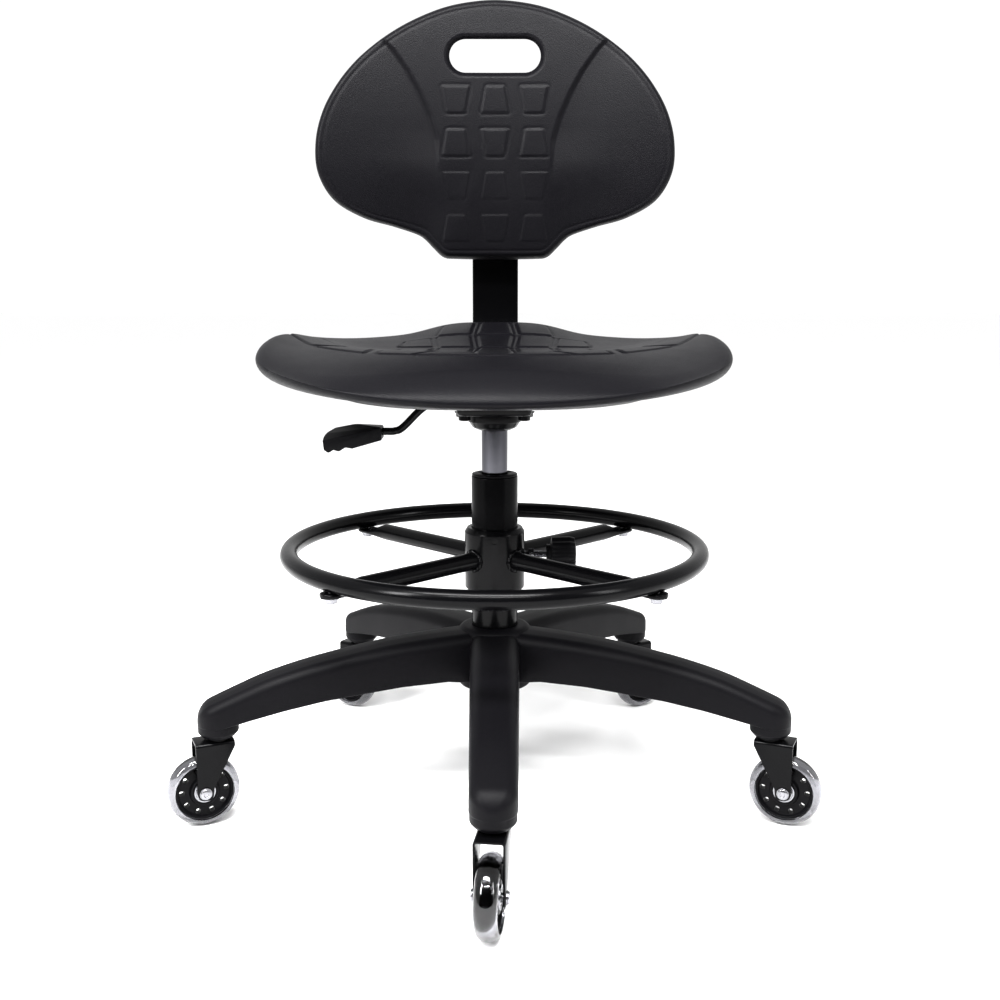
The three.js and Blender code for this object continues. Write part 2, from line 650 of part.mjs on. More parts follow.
// A paddle on the end of the rod, with three finger hollows underneath and its upper front
// corner sloping away.
function leverPaddle() {
  const side = new THREE.Shape();
  side.moveTo(-120, 392);
  side.lineTo(-120, 405);
  side.quadraticCurveTo(-150, 407, -174, 401);
  side.quadraticCurveTo(-184, 397, -182, 388);
  side.lineTo(-180, 381);
  side.quadraticCurveTo(-176, 377, -172, 380.5);
  side.quadraticCurveTo(-169, 382.5, -165, 380);
  side.quadraticCurveTo(-161, 380.5, -158.5, 383.5);
  side.quadraticCurveTo(-155, 383.5, -151.5, 382.5);
  side.closePath();
  const halfDepth = 13;
  const body = slab(side, -halfDepth, 2 * halfDepth).rotateX(Math.PI / 2);
  // The sloping face: its front edge falls from the rod end to the free end.
  const rings = [-110, -190].map((x) => {
    const front = 404.5 + 0.22 * (x + 120);
    const rear = front + 0.4 * 2 * halfDepth;
    return [[-halfDepth - 1, front - 0.4], [halfDepth, rear], [halfDepth, 450], [-halfDepth - 1, 450]]
      .map(([y, z]) => new THREE.Vector3(x, y, z));
  });
  const bore = disc(LEVER_RADIUS + GAP, -129, -110, 12).rotateY(Math.PI / 2).translate(0, 0, PADDLE_Z);
  return cut(body, stacked(rings), bore);
}

// ---------------------------------------------------------------- backrest

function backOutline(count) {
  const half = BACK_HALF_OUTLINE.map(([x, z]) => new THREE.Vector2(x, z));
  const mirrored = half.slice(1, -1).reverse().map((p) => new THREE.Vector2(-p.x, p.y));
  const closed = [...half, ...mirrored].map((p) => new THREE.Vector3(p.x, 0, p.y));
  return new THREE.CatmullRomCurve3(closed, true, "centripetal").getSpacedPoints(count).slice(0, count);
}

// Rear face of the foam: the sides come forward and the whole leans back a little.
function backFace(x, z) {
  return BACK_Y - BACK_WRAP * (Math.abs(x) / BACK_HALF_WIDTH) ** 2 + BACK_LEAN * (z - BACK_CENTRE_Z);
}

function backrestFoam() {
  const outline = backOutline(40);
  const layer = (scale, depth) => outline.map((p) => {
    const x = p.x * scale;
    const z = BACK_CENTRE_Z + (p.z - BACK_CENTRE_Z) * scale;
    return new THREE.Vector3(x, backFace(x, z) - depth, z);
  });
  const rings = [
    layer(0.4, 0), layer(0.93, 1), layer(0.985, 5), layer(1, 12), layer(1, 18), layer(0.985, 25),
    layer(0.93, 30), layer(0.75, 34), layer(0.4, BACK_THICKNESS),
  ];
  const handle = slab(roundedRectangle(HANDLE.length, HANDLE.height, HANDLE.height / 2 - 0.01), 0, 200)
    .rotateX(Math.PI / 2).translate(0, 300, HANDLE.z);
  const holes = [-1, 1].map((side) => backBoltHole(side));
  return cut(stacked(rings), handle, ...holes);
}

function backBoltHole(side) {
  return disc(BOLT_RADIUS + GAP, BACK_Y - 25, BACK_Y + 60, 12)
    .rotateX(-Math.PI / 2)
    .translate(side * BACK_SCREWS.x, 0, BACK_SCREWS.z);
}

// A sleeve on the back of the foam that slides on the bar.
function backBracket() {
  const { width, bottom, top, depth } = BRACKET;
  const front = BACK_Y + 2;
  const height = top - bottom;
  const body = slab(roundedRectangle(width, height, 10), 0, depth)
    .rotateX(Math.PI / 2).translate(0, front + depth, (top + bottom) / 2);
  const channel = box(BAR_WIDTH + 2, BAR_THICKNESS + 2, height + 20, 0, BAR_Y, (top + bottom) / 2);
  const studHole = disc(STUD_RADIUS + GAP, BAR_Y, BAR_Y + 60, 12)
    .rotateX(-Math.PI / 2)
    .translate(0, 0, BACK_SCREWS.z);
  const holes = [-1, 1].map((side) => backBoltHole(side));
  return cut(body, channel, studHole, ...holes);
}

function backBolt(side) {
  const head = BACK_Y + 2 + BRACKET.depth + GAP;
  return turned([
    [0, BACK_Y - 20], [BOLT_RADIUS, BACK_Y - 20], [BOLT_RADIUS, head], [6.5, head], [6.5, head + 2],
    [5, head + 4], [0, head + 4],
  ], 12).rotateX(-Math.PI / 2).translate(side * BACK_SCREWS.x, 0, BACK_SCREWS.z);
}

function backKnobStud() {
  return disc(STUD_RADIUS, BAR_Y + BAR_THICKNESS / 2 + 0.8, BAR_Y + 32, 12)
    .rotateX(-Math.PI / 2)
    .translate(0, 0, BACK_SCREWS.z);
}

// Flat bar: along under the seat, round a bend behind it and up behind the backrest.
function backBar() {
  const half = BAR_THICKNESS / 2;
  const [under, bend] = [PLATE_Z - GAP - half, 40];
  const shape = new THREE.Shape();
  shape.moveTo(60, under - half);
  shape.lineTo(BAR_Y - bend, under - half);
  shape.absarc(BAR_Y - bend, under + bend, bend + half, -Math.PI / 2, 0, false);
  shape.lineTo(BAR_Y + half, BAR_TOP);
  shape.lineTo(BAR_Y - half, BAR_TOP);
  shape.lineTo(BAR_Y - half, under + bend);
  shape.absarc(BAR_Y - bend, under + bend, bend - half, 0, -Math.PI / 2, true);
  shape.lineTo(60, under + half);
  shape.closePath();
  return slab(shape, -BAR_WIDTH / 2, BAR_WIDTH, 6).rotateX(Math.PI / 2).rotateZ(Math.PI / 2);
}

// ---------------------------------------------------------------- assembly

const chair = new THREE.Group();

function piece(name, geometry, look, parent = chair) {
  const mesh = new THREE.Mesh(weld(geometry), new THREE.MeshStandardMaterial(LOOKS[look]));
  mesh.name = name;
  parent.add(mesh);
  return mesh;
}

piece("star_base", starBase(), "nylon");
piece("column_tube", columnTube(), "powder_coat");
piece("column_bushing", columnBushing(), "black_plastic");
piece("rod_seat", rodSeat(), "bright_steel");
piece("piston_rod", pistonRod(), "bright_steel");
piece("gas_cylinder", gasCylinder(), "chrome");
piece("valve_pin", valvePin(), "bright_steel");

piece("foot_ring", footRing(), "powder_coat");
piece("ring_collar", ringCollar(), "powder_coat");
for (let k = 0; k < SPOKES; k += 1) {
  piece(`ring_spoke_${k + 1}`, ringSpoke(k), "powder_coat");
  piece(`ring_bolt_${k + 1}`, ringBolt(k), "bright_steel");
}
piece("ring_knob_stud", ringKnobStud(), "bright_steel");
const ringKnob = handKnob(KNOB_RADIUS, KNOB_LENGTH).rotateY(Math.PI / 2).translate(KNOB_START, 0, KNOB_Z);
piece("ring_knob", ringKnob, "black_plastic");

piece("seat_foam", seatFoam(), "polyurethane");
piece("seat_board", seatBoard(), "plywood");
piece("seat_plate", seatPlate(), "powder_coat");
piece("taper_cup", taperCup(), "powder_coat");
piece("plate_bolt_1", plateBolt(-1), "powder_coat");
piece("plate_bolt_2", plateBolt(1), "powder_coat");
piece("lever_rod", leverRod(), "powder_coat");
piece("lever_paddle", leverPaddle(), "black_plastic");

piece("back_bar", backBar(), "powder_coat");
piece("backrest_foam", backrestFoam(), "polyurethane");
piece("back_bracket", backBracket(), "black_plastic");
piece("back_bolt_1", backBolt(-1), "bright_steel");
piece("back_bolt_2", backBolt(1), "bright_steel");
piece("back_knob_stud", backKnobStud(), "bright_steel");
const backKnob = handKnob(BACK_KNOB.radius, BACK_KNOB.length)
  .rotateX(-Math.PI / 2)
  .translate(0, BAR_Y + 18.5, BACK_SCREWS.z);
piece("back_knob", backKnob, "black_plastic");

for (let k = 0; k < LEGS; k += 1) {
  const caster = new THREE.Group();
  caster.rotation.z = legAngle(k) + THREE.MathUtils.degToRad(CASTER_TURNS[k]);
  caster.position.set(STEM_CIRCLE * Math.cos(legAngle(k)), STEM_CIRCLE * Math.sin(legAngle(k)), 0);
  chair.add(caster);
  const name = `caster_${k + 1}`;
  piece(`${name}_stem`, casterStem(), "powder_coat", caster);
  piece(`${name}_fork`, casterFork(), "powder_coat", caster);
  piece(`${name}_axle`, casterAxle(), "bright_steel", caster);
  piece(`${name}_core`, casterCore(), "black_plastic", caster);
  piece(`${name}_tyre`, casterTyre(), "clear_tyre", caster);
}

chair.updateMatrixWorld(true);
const bounds = new THREE.Box3().setFromObject(chair, true);
const middle = bounds.getCenter(new THREE.Vector3());
chair.position.set(-middle.x, -middle.y, -bounds.min.z);

export default chair;
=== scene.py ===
"""Looks of the drafting chair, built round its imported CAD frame.

Shapes are written in millimetres in the chair's own coordinates: the column stands on x = 0, y = 0, the
floor is z = 0, the front of the seat faces -Y and +X is to the right of somebody who faces the chair.
"""

import json
import math

import bmesh
import bpy
import numpy as np
from mathutils import Matrix, Vector


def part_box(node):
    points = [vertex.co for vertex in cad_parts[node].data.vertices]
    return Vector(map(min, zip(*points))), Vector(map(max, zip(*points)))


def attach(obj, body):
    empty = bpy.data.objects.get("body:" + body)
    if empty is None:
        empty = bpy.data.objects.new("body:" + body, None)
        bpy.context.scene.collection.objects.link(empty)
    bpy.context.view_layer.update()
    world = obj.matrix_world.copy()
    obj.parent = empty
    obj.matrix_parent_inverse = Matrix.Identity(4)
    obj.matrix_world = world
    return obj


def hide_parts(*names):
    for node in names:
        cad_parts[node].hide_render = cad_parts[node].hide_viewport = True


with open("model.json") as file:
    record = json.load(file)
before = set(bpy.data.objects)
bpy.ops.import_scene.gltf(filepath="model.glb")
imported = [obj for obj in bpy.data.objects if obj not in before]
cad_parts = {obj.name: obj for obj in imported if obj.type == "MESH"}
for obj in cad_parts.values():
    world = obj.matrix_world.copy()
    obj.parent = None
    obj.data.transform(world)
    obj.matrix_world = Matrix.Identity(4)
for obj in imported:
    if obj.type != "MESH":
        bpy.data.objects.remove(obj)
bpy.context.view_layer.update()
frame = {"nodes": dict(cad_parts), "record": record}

TAU = 2 * math.pi
TUBE_LOW, TUBE_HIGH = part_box("column_tube")
AXIS = ((TUBE_LOW + TUBE_HIGH) / 2).xy.to_3d()  # where the chair's own origin is in the frame

# Camera: its place in the chair's millimetres, degrees downwards, focal length for a 36 mm wide sensor
CAMERA = (5.8, -1235.0, 546.4)
CAMERA_PITCH = 10.17
CAMERA_FOCAL = 41.74

# Base and casters
LEGS = 5
STEM_CIRCLE = 301
# Along a leg, at a distance from the middle of the base: height of its top and of its underside
LEG_TOP = [
    (20, 184), (60, 182), (111, 178.5), (150, 173.5), (184, 168),
    (215, 162), (250, 153), (278, 143), (301, 134),
]
LEG_BOTTOM = [
    (20, 128), (60, 133.5), (110, 132.7), (150, 129.5), (194, 125.5), (236, 119.2), (271, 112.3), (301, 106),
]
LEG_HALF_AT_HUB = 27
LEG_CORNER = 13
TIP_RADIUS = 21
TIP_ROUND = 14
TIP_SLOPE = 0.39
TIP_BOTTOM = 94
HUB_RADIUS = 40
HUB_TOP = 187
HUB_BOTTOM = 120
STEM_RADIUS = 5.5
STEM_TOP = 121
SOCKET_RADIUS = 5.8
SOCKET_TOP = 125
WHEEL_RADIUS = 37.5
CORE_RADIUS = 29.6
CORE_OPENINGS = 10
AXLE_RADIUS = 3.9
TRAIL = 18
CASTER_TURNS = (-8, -6, -24, 24, 6)  # degrees that each caster is swivelled from its leg
FORK_TOP = 91
FORK_HALF = 14.2
FORK_SHEET = 2.2

# Column and foot ring
COLUMN_RADIUS = 25
BORE_RADIUS = 25.3  # of the hub and of the foot ring's collar
COLUMN_TOP = 352
CYLINDER_RADIUS = 14
RING_RADIUS = 221
RING_TUBE = 9.5
RING_Z = 272.5
SPOKE_Z = 262.5
SPOKES = 4
COLLAR_RADIUS = 32.5
KNOB_Z = 265
KNOB_RADIUS = 19.5
KNOB_START = 56.5
THREAD_PITCH = 1.1
CUP_BOTTOM = 401.5
PAN_BOTTOM = 421
LEVER_Z = 430
PADDLE_Z = 399.6
BOLT_RADIUS = 2.9
HEAD_RADIUS = 5.6

# Seat
SEAT_HALF_WIDTH = 239.5
SEAT_WIDEST_Y = -35
SEAT_FRONT = 178
SEAT_REAR = 245
SEAT_UNDERSIDE = 439.3
DISH_Y = 110
SEAT_GRID, SEAT_ROLL = 280, 12  # cells across the top, and how many of them roll over the edge

# Backrest
BACK_Y = 212
BACK_CENTRE_Z = 722
BAR_WIDTH = 56
BAR_THICKNESS = 7
BAR_Y = 226
BRACKET_Z = 644
BACK_BOLT_X = 33
HANDLE_Z = 816.5
HANDLE_HALF_LENGTH = 53
HANDLE_RADIUS = 18.5
HANDLE_FRONT_Y = 182
BACK_HALF_WIDTH = 208
BACK_GRID, BACK_ROLL = 258, 8
# Half width and height of the outline, from the top to the bottom
BACK_HALF_OUTLINE = [
    (0, 882.3), (28.8, 880), (57.2, 874), (84.8, 863.5), (111.6, 849.6), (137.4, 831.8), (161.8, 809.9),
    (183, 783.2), (199.5, 752.1), (207.9, 717.7), (206, 682.6), (188.5, 652), (155.6, 632.6), (120.4, 622.7),
    (93, 613.8), (82.6, 607), (73.7, 597.8), (61.7, 587.3), (45.8, 585.4), (0, 585),
]

# Lights: name, place, aim and size in metres, power in watts
LIGHTS = [
    ("over", (-0.2, -0.9, 2.2), (0, 0, 0.45), (1.8, 0.4), 115),
    ("front", (-0.1, -1.7, 1.95), (0, 0, 0.45), (1.5, 0.12), 48),
    ("left", (-1.9, -1.5, 1.7), (0, 0, 0.6), (0.5, 1.2), 95),
    ("right", (2.2, -1.3, 1.4), (0, 0, 0.5), (0.4, 1.2), 30),
]


# -------- shapes: (points, faces) in millimetres

def smoothstep(value, low, high):
    t = np.clip((np.asarray(value, float) - low) / (high - low), 0, 1)
    return t * t * (3 - 2 * t)


def mix(a, b, t):
    return a + (b - a) * t


def along(table, position):
    return np.interp(position, [p for p, _ in table], [v for _, v in table])


def smooth_line(table, steps):
    """Evenly spaced points on a Catmull-Rom curve through the points of a table."""
    p = np.array(table, float)
    p = np.vstack([2 * p[0] - p[1], p, 2 * p[-1] - p[-2]])
    out = []
    for k in range(1, len(p) - 2):
        for t in np.linspace(0, 1, steps, endpoint=False):
            a = 2 * p[k]
            b = p[k + 1] - p[k - 1]
            c = 2 * p[k - 1] - 5 * p[k] + 4 * p[k + 1] - p[k + 2]
            d = -p[k - 1] + 3 * p[k] - 3 * p[k + 1] + p[k + 2]
            out.append(0.5 * (a + b * t + c * t * t + d * t ** 3))
    out.append(p[-2])
    return np.array(out)


def rounded(corners, closed=False, steps=5):
    """A polyline of (x, y, radius) corners with each corner replaced by an arc."""
    out = []
    count = len(corners)
    for k, (x, y, radius) in enumerate(corners):
        here = np.array([x, y], float)
        if radius == 0 or (not closed and k in (0, count - 1)):
            out.append(here)
            continue
        before = np.array(corners[k - 1][:2], float) - here
        after = np.array(corners[(k + 1) % count][:2], float) - here
        lengths = np.linalg.norm(before), np.linalg.norm(after)
        before, after = before / lengths[0], after / lengths[1]
        half = math.acos(np.clip(before @ after, -1, 1)) / 2
        reach = min(radius / math.tan(half), 0.5 * min(lengths))
        radius = reach * math.tan(half)
        centre = here + (before + after) / np.linalg.norm(before + after) * radius / math.sin(half)
        first, last = here + before * reach - centre, here + after * reach - centre
        turn = math.atan2(first[0] * last[1] - first[1] * last[0], first @ last)
        for a in np.linspace(0, turn, steps + 1):
            c, s = math.cos(a), math.sin(a)
            out.append(centre + [c * first[0] - s * first[1], s * first[0] + c * first[1]])
    return np.array(out)


def loft(rings, looped=False):
    """A skin over rings of equal counts. A looped one joins its last ring to its first."""
    count = len(rings[0])
    points = np.vstack(rings)
    faces = []
    bands = len(rings) if looped else len(rings) - 1
    for k in range(bands):
        for i in range(count):
            j = (i + 1) % count
            a, b = k * count, ((k + 1) % len(rings)) * count
            faces.append((a + i, a + j, b + j, b + i))
    if not looped:
        faces.append(tuple(reversed(range(count))))
        faces.append(tuple(range(len(points) - count, len(points))))
    return points, faces


def turned(profile, sides=64):
    """A turned piece about Z from (radius, height) points, closed at both ends or back to its start."""
    profile = np.asarray(profile, float)
    looped = bool(np.allclose(profile[0], profile[-1]))
    if looped:
        profile = profile[:-1]
    angles = np.linspace(0, TAU, sides, endpoint=False)
    rings = []
    for r, z in profile:
        r = max(r, 0.02)
        rings.append(np.column_stack([r * np.cos(angles), r * np.sin(angles), np.full(sides, z)]))
    return loft(rings, looped=looped)


def turned_ring(corners, steps=4, sides=96):
    """A turned piece with a hole: its (radius, height, rounding) corners go once round the section."""
    section = rounded(corners, True, steps)
    return turned(np.vstack([section, section[:1]]), sides)


def rod(radius, low, high, sides=24):
    return turned([(0, low), (radius, low), (radius, high), (0, high)], sides)


def disc(radius, low, high):
    """A washer or flange with its edges rounded off."""
    return turned(rounded([(0, low, 0), (radius, low, 0.3), (radius, high, 0.3), (0, high, 0)]), 40)


def swept(path, section):
    """A closed (across, up) section carried along a path in space."""
    path = np.asarray(path, float)
    tangents = np.gradient(path, axis=0)
    tangents /= np.linalg.norm(tangents, axis=1)[:, None]
    side = np.cross(tangents[0], [0.0, 0, 1])
    if np.linalg.norm(side) < 1e-6:
        side = np.array([0.0, 1, 0])
    rings = []
    for p, t in zip(path, tangents):
        side = side - (side @ t) * t
        side /= np.linalg.norm(side)
        up = np.cross(side, t)
        rings.append([p + side * a + up * b for a, b in section])
    return loft([np.array(r) for r in rings])


def circle(radius, sides=24):
    angles = np.linspace(0, TAU, sides, endpoint=False)
    return np.column_stack([radius * np.cos(angles), radius * np.sin(angles)])


def prism(outline, low, high):
    """A flat outline in X and Y pulled up along Z."""
    outline = np.asarray(outline, float)
    return loft([np.column_stack([outline, np.full(len(outline), z)]) for z in (low, high)])


def rectangle(width, height, radius, steps=5):
    w, h = width / 2, height / 2
    return rounded([(w, -h, radius), (w, h, radius), (-w, h, radius), (-w, -h, radius)], True, steps)


def moved(shape, x=0, y=0, z=0):
    return shape[0] + [x, y, z], shape[1]


def spun(shape, axis, degrees):
    turn = np.array(Matrix.Rotation(math.radians(degrees), 3, axis))
    return shape[0] @ turn.T, shape[1]


def together(*shapes):
    points, faces, start = [], [], 0
    for p, f in shapes:
        points.append(p)
        faces += [tuple(i + start for i in face) for face in f]
        start += len(p)
    return np.vstack(points), faces


# -------- objects

def outward(obj):
    """Turns the faces of a closed mesh outward."""
    bm = bmesh.new()
    bm.from_mesh(obj.data)
    bmesh.ops.recalc_face_normals(bm, faces=bm.faces)
    bm.to_mesh(obj.data)
    bm.free()


def as_object(name, shape):
    points, faces = shape
    mesh = bpy.data.meshes.new(name)
    mesh.from_pydata((np.asarray(points) / 1000).tolist(), [], [tuple(int(i) for i in f) for f in faces])
    mesh.validate()
    obj = bpy.data.objects.new(name, mesh)
    bpy.context.scene.collection.objects.link(obj)
    outward(obj)
    return obj


def baked(obj):
    """Applies the object's modifiers to its mesh."""
    graph = bpy.context.evaluated_depsgraph_get()
    mesh = bpy.data.meshes.new_from_object(obj.evaluated_get(graph))
    old = obj.data
    obj.modifiers.clear()
    obj.data = mesh
    bpy.data.meshes.remove(old)


def combined(base, operation, *shapes):
    """Joins shapes to an object or cuts them from it."""
    for number, shape in enumerate(shapes):
        tool = as_object(f"{base.name}_tool_{number}", shape)
        modifier = base.modifiers.new("tool", "BOOLEAN")
        modifier.operation = operation
        modifier.solver = "EXACT"
        modifier.object = tool
        bpy.context.view_layer.update()
        baked(base)
        mesh = tool.data
        bpy.data.objects.remove(tool)
        bpy.data.meshes.remove(mesh)


def bevelled(obj, width, segments=3, angle=30):
    modifier = obj.modifiers.new("edges", "BEVEL")
    modifier.width = width / 1000
    modifier.segments = segments
    modifier.limit_method = "ANGLE"
    modifier.angle_limit = math.radians(angle)
    bpy.context.view_layer.update()
    baked(obj)
    return obj


def finished(obj, material, body, stands_for=(), at=Matrix.Identity(4), crease=35):
    """Shades a piece, places it in the frame, paints it and lets it ride on its body."""
    obj.data.shade_smooth()
    obj.data.set_sharp_from_angle(angle=math.radians(crease))
    obj.data.materials.clear()
    obj.data.materials.append(MATERIALS[material])
    obj.matrix_world = Matrix.Translation(AXIS) @ at
    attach(obj, body)
    if stands_for:
        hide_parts(*stands_for)
    return obj


def piece(name, shape, material, body, stands_for=(), at=Matrix.Identity(4), bevel=0, crease=35):
    obj = as_object(name, shape)
    if bevel:
        bevelled(obj, bevel)
    return finished(obj, material, body, stands_for, at, crease)


# -------- materials

def new_material(name, colour, roughness, metallic=0.0):
    material = bpy.data.materials.new(name)
    material.use_nodes = True
    shader = material.node_tree.nodes["Principled BSDF"]
    shader.inputs["Base Color"].default_value = (*colour, 1)
    shader.inputs["Roughness"].default_value = roughness
    shader.inputs["Metallic"].default_value = metallic
    return material, shader


def node(tree, kind, **values):
    made = tree.nodes.new(kind)
    for key, value in values.items():
        if key in made.inputs.keys():
            made.inputs[key].default_value = value
        else:
            setattr(made, key, value)
    return made


def surface_coordinates(tree, stretch=(1, 1, 1)):
    place = node(tree, "ShaderNodeTexCoord")
    scale = node(tree, "ShaderNodeMapping")
    scale.inputs["Scale"].default_value = stretch
    tree.links.new(place.outputs["Object"], scale.inputs["Vector"])
    return scale.outputs["Vector"]


def add_bump(tree, shader, height, strength, distance):
    bump = node(tree, "ShaderNodeBump", Strength=strength, Distance=distance)
    tree.links.new(height, bump.inputs["Height"])
    tree.links.new(bump.outputs["Normal"], shader.inputs["Normal"])


def vary(tree, shader, name, source, low, high):
    """Lets a texture move a value of the shader between two numbers."""
    ranged = node(tree, "ShaderNodeMapRange")
    ranged.inputs["To Min"].default_value = low
    ranged.inputs["To Max"].default_value = high
    tree.links.new(source, ranged.inputs["Value"])
    tree.links.new(ranged.outputs["Result"], shader.inputs[name])


def noise(tree, where, scale, detail):
    texture = node(tree, "ShaderNodeTexNoise", Scale=scale, Detail=detail)
    tree.links.new(where, texture.inputs["Vector"])
    return texture.outputs["Fac"]


def moulded_foam():
    """Self-skinned polyurethane: a fine pebbled leather grain with a soft gloss."""
    material, shader = new_material("polyurethane", (0.0032, 0.003, 0.0042), 0.4)
    tree = material.node_tree
    where = surface_coordinates(tree)
    pebbles = node(tree, "ShaderNodeTexVoronoi", Scale=850.0)
    tree.links.new(where, pebbles.inputs["Vector"])
    grain = node(tree, "ShaderNodeMath", operation="MULTIPLY_ADD")
    tree.links.new(pebbles.outputs["Distance"], grain.inputs[0])
    grain.inputs[1].default_value = -1.0
    tree.links.new(noise(tree, where, 900.0, 3.0), grain.inputs[2])
    add_bump(tree, shader, grain.outputs["Value"], 0.32, 0.0004)
    vary(tree, shader, "Roughness", noise(tree, where, 24.0, 4.0), 0.36, 0.48)
    shader.inputs["Specular IOR Level"].default_value = 0.1
    return material


def black_coat(name, colour, low, high, fine, strength, broad, level):
    """A moulding or a coat of paint: fine is its texture, broad the wear of its gloss (scale, detail)."""
    material, shader = new_material(name, colour, (low + high) / 2)
    tree = material.node_tree
    where = surface_coordinates(tree)
    add_bump(tree, shader, noise(tree, where, *fine), strength, 0.0004)
    vary(tree, shader, "Roughness", noise(tree, where, *broad), low, high)
    shader.inputs["Specular IOR Level"].default_value = level
    return material


def metal(name, colour, low, high, stretch):
    """Bright metal; the stretch draws its brushing out in one direction."""
    material, shader = new_material(name, colour, (low + high) / 2, 1.0)
    tree = material.node_tree
    brushing = noise(tree, surface_coordinates(tree, stretch), 120.0, 5.0)
    vary(tree, shader, "Roughness", brushing, low, high)
    add_bump(tree, shader, brushing, 0.06, 0.0002)
    return material


def clear_tyre():
    """Clear cast polyurethane."""
    material, shader = new_material("clear_tyre", (0.21, 0.21, 0.225), 0.06)
    shader.inputs["Transmission Weight"].default_value = 1.0
    shader.inputs["IOR"].default_value = 1.48
    tree = material.node_tree
    vary(tree, shader, "Roughness", noise(tree, surface_coordinates(tree), 70.0, 4.0), 0.03, 0.12)
    return material


def plywood():
    material, shader = new_material("plywood", (0.36, 0.23, 0.12), 0.7)
    tree = material.node_tree
    grain = noise(tree, surface_coordinates(tree, (1, 14, 1)), 9.0, 8.0)
    tone = node(tree, "ShaderNodeValToRGB")
    tone.color_ramp.elements[0].color = (0.25, 0.14, 0.06, 1)
    tone.color_ramp.elements[1].color = (0.45, 0.3, 0.16, 1)
    tree.links.new(grain, tone.inputs["Fac"])
    tree.links.new(tone.outputs["Color"], shader.inputs["Base Color"])
    add_bump(tree, shader, grain, 0.2, 0.0003)
    return material


MATERIALS = {
    "polyurethane": moulded_foam(),
    "nylon": black_coat(
        "nylon", (0.0034, 0.0032, 0.0042), 0.42, 0.55, (700.0, 4.0), 0.35, (18.0, 3.0), 0.09),
    "black_plastic": black_coat(
        "black_plastic", (0.0032, 0.0031, 0.0038), 0.33, 0.45, (900.0, 4.0), 0.18, (18.0, 3.0), 0.09),
    "powder_coat": black_coat(
        "powder_coat", (0.002, 0.002, 0.0024), 0.16, 0.27, (260.0, 2.0), 0.12, (30.0, 3.0), 0.11),
    "bright_steel": metal("bright_steel", (0.27, 0.27, 0.285), 0.2, 0.34, (1, 1, 1)),
    "chrome": metal("chrome", (0.085, 0.085, 0.095), 0.1, 0.2, (1, 1, 12)),
    "clear_tyre": clear_tyre(),
    "plywood": plywood(),
}


# -------- star base

def leg_angle(k):
    return -90 + k * 360 / LEGS


def leg_section(s, half, top, bottom, corner):
    """Rounded across the top with a little draft down the sides."""
    corner = min(corner, half * 0.9)
    outline = rounded([
        (half + 0.6, bottom, 2.0), (half, top - 0.6, corner), (0, top + 0.4, 60),
        (-half, top - 0.6, corner), (-half - 0.6, bottom, 2.0),
    ], True, 8)
    return np.column_stack([np.full(len(outline), s), outline])


def tip_top(beyond, radius):
    """Height of the top of a leg's rounded end, this far beyond the stem."""
    into_edge = max(TIP_ROUND - (radius - beyond), 0)
    return LEG_TOP[-1][1] - TIP_SLOPE * beyond - TIP_ROUND + math.sqrt(TIP_ROUND ** 2 - into_edge ** 2)


def leg_shape(inset=0.0, lower=0.0):
    """One leg along +X. With an inset it is the hollow inside, whose underside is taken lower."""
    rings = []
    corner = LEG_CORNER - inset
    for s, top in smooth_line(LEG_TOP, 4):
        if inset and s < HUB_RADIUS + 6:
            continue
        half = mix(LEG_HALF_AT_HUB, TIP_RADIUS, s / STEM_CIRCLE) - inset
        rings.append(leg_section(s, half, top - inset * 1.4, along(LEG_BOTTOM, s) - lower, corner))
    radius = TIP_RADIUS - inset
    for turn in np.linspace(8, 88, 14):
        a = math.radians(turn)
        beyond = radius * math.sin(a)
        top = tip_top(beyond, radius) - inset * 1.4
        bottom = LEG_BOTTOM[-1][1] - lower
        rings.append(leg_section(STEM_CIRCLE + beyond, radius * math.cos(a), top, bottom, corner))
    return loft(rings)


def leg_ribs():
    """Cross ribs, a spine and the boss of the caster stem, inside the hollow of a leg."""
    ribs = []
    for s in (95, 140, 185, 230, 265):
        half = mix(LEG_HALF_AT_HUB, TIP_RADIUS, s / STEM_CIRCLE) - 1
        low, top = along(LEG_BOTTOM, s) + 5, along(LEG_TOP, s) - 3
        ribs.append(loft([leg_section(s + side, half, top, low, LEG_CORNER) for side in (-1.5, 1.5)]))
    spine = [(50, 141), (50, 176), (180, 163), (288, 128), (288, 114), (180, 133)]
    ribs.append(spun(moved(prism(spine, -1.5, 1.5)), "X", 90))
    end = turned(rounded([
        (0, TIP_BOTTOM, 0), (TIP_RADIUS - 4.5, TIP_BOTTOM, 2), (TIP_RADIUS - 0.1, TIP_BOTTOM + 5, 3),
        (TIP_RADIUS - 0.1, 110, 0), (0, 110, 0),
    ]), 80)
    ribs.append(moved(end, STEM_CIRCLE))
    return ribs


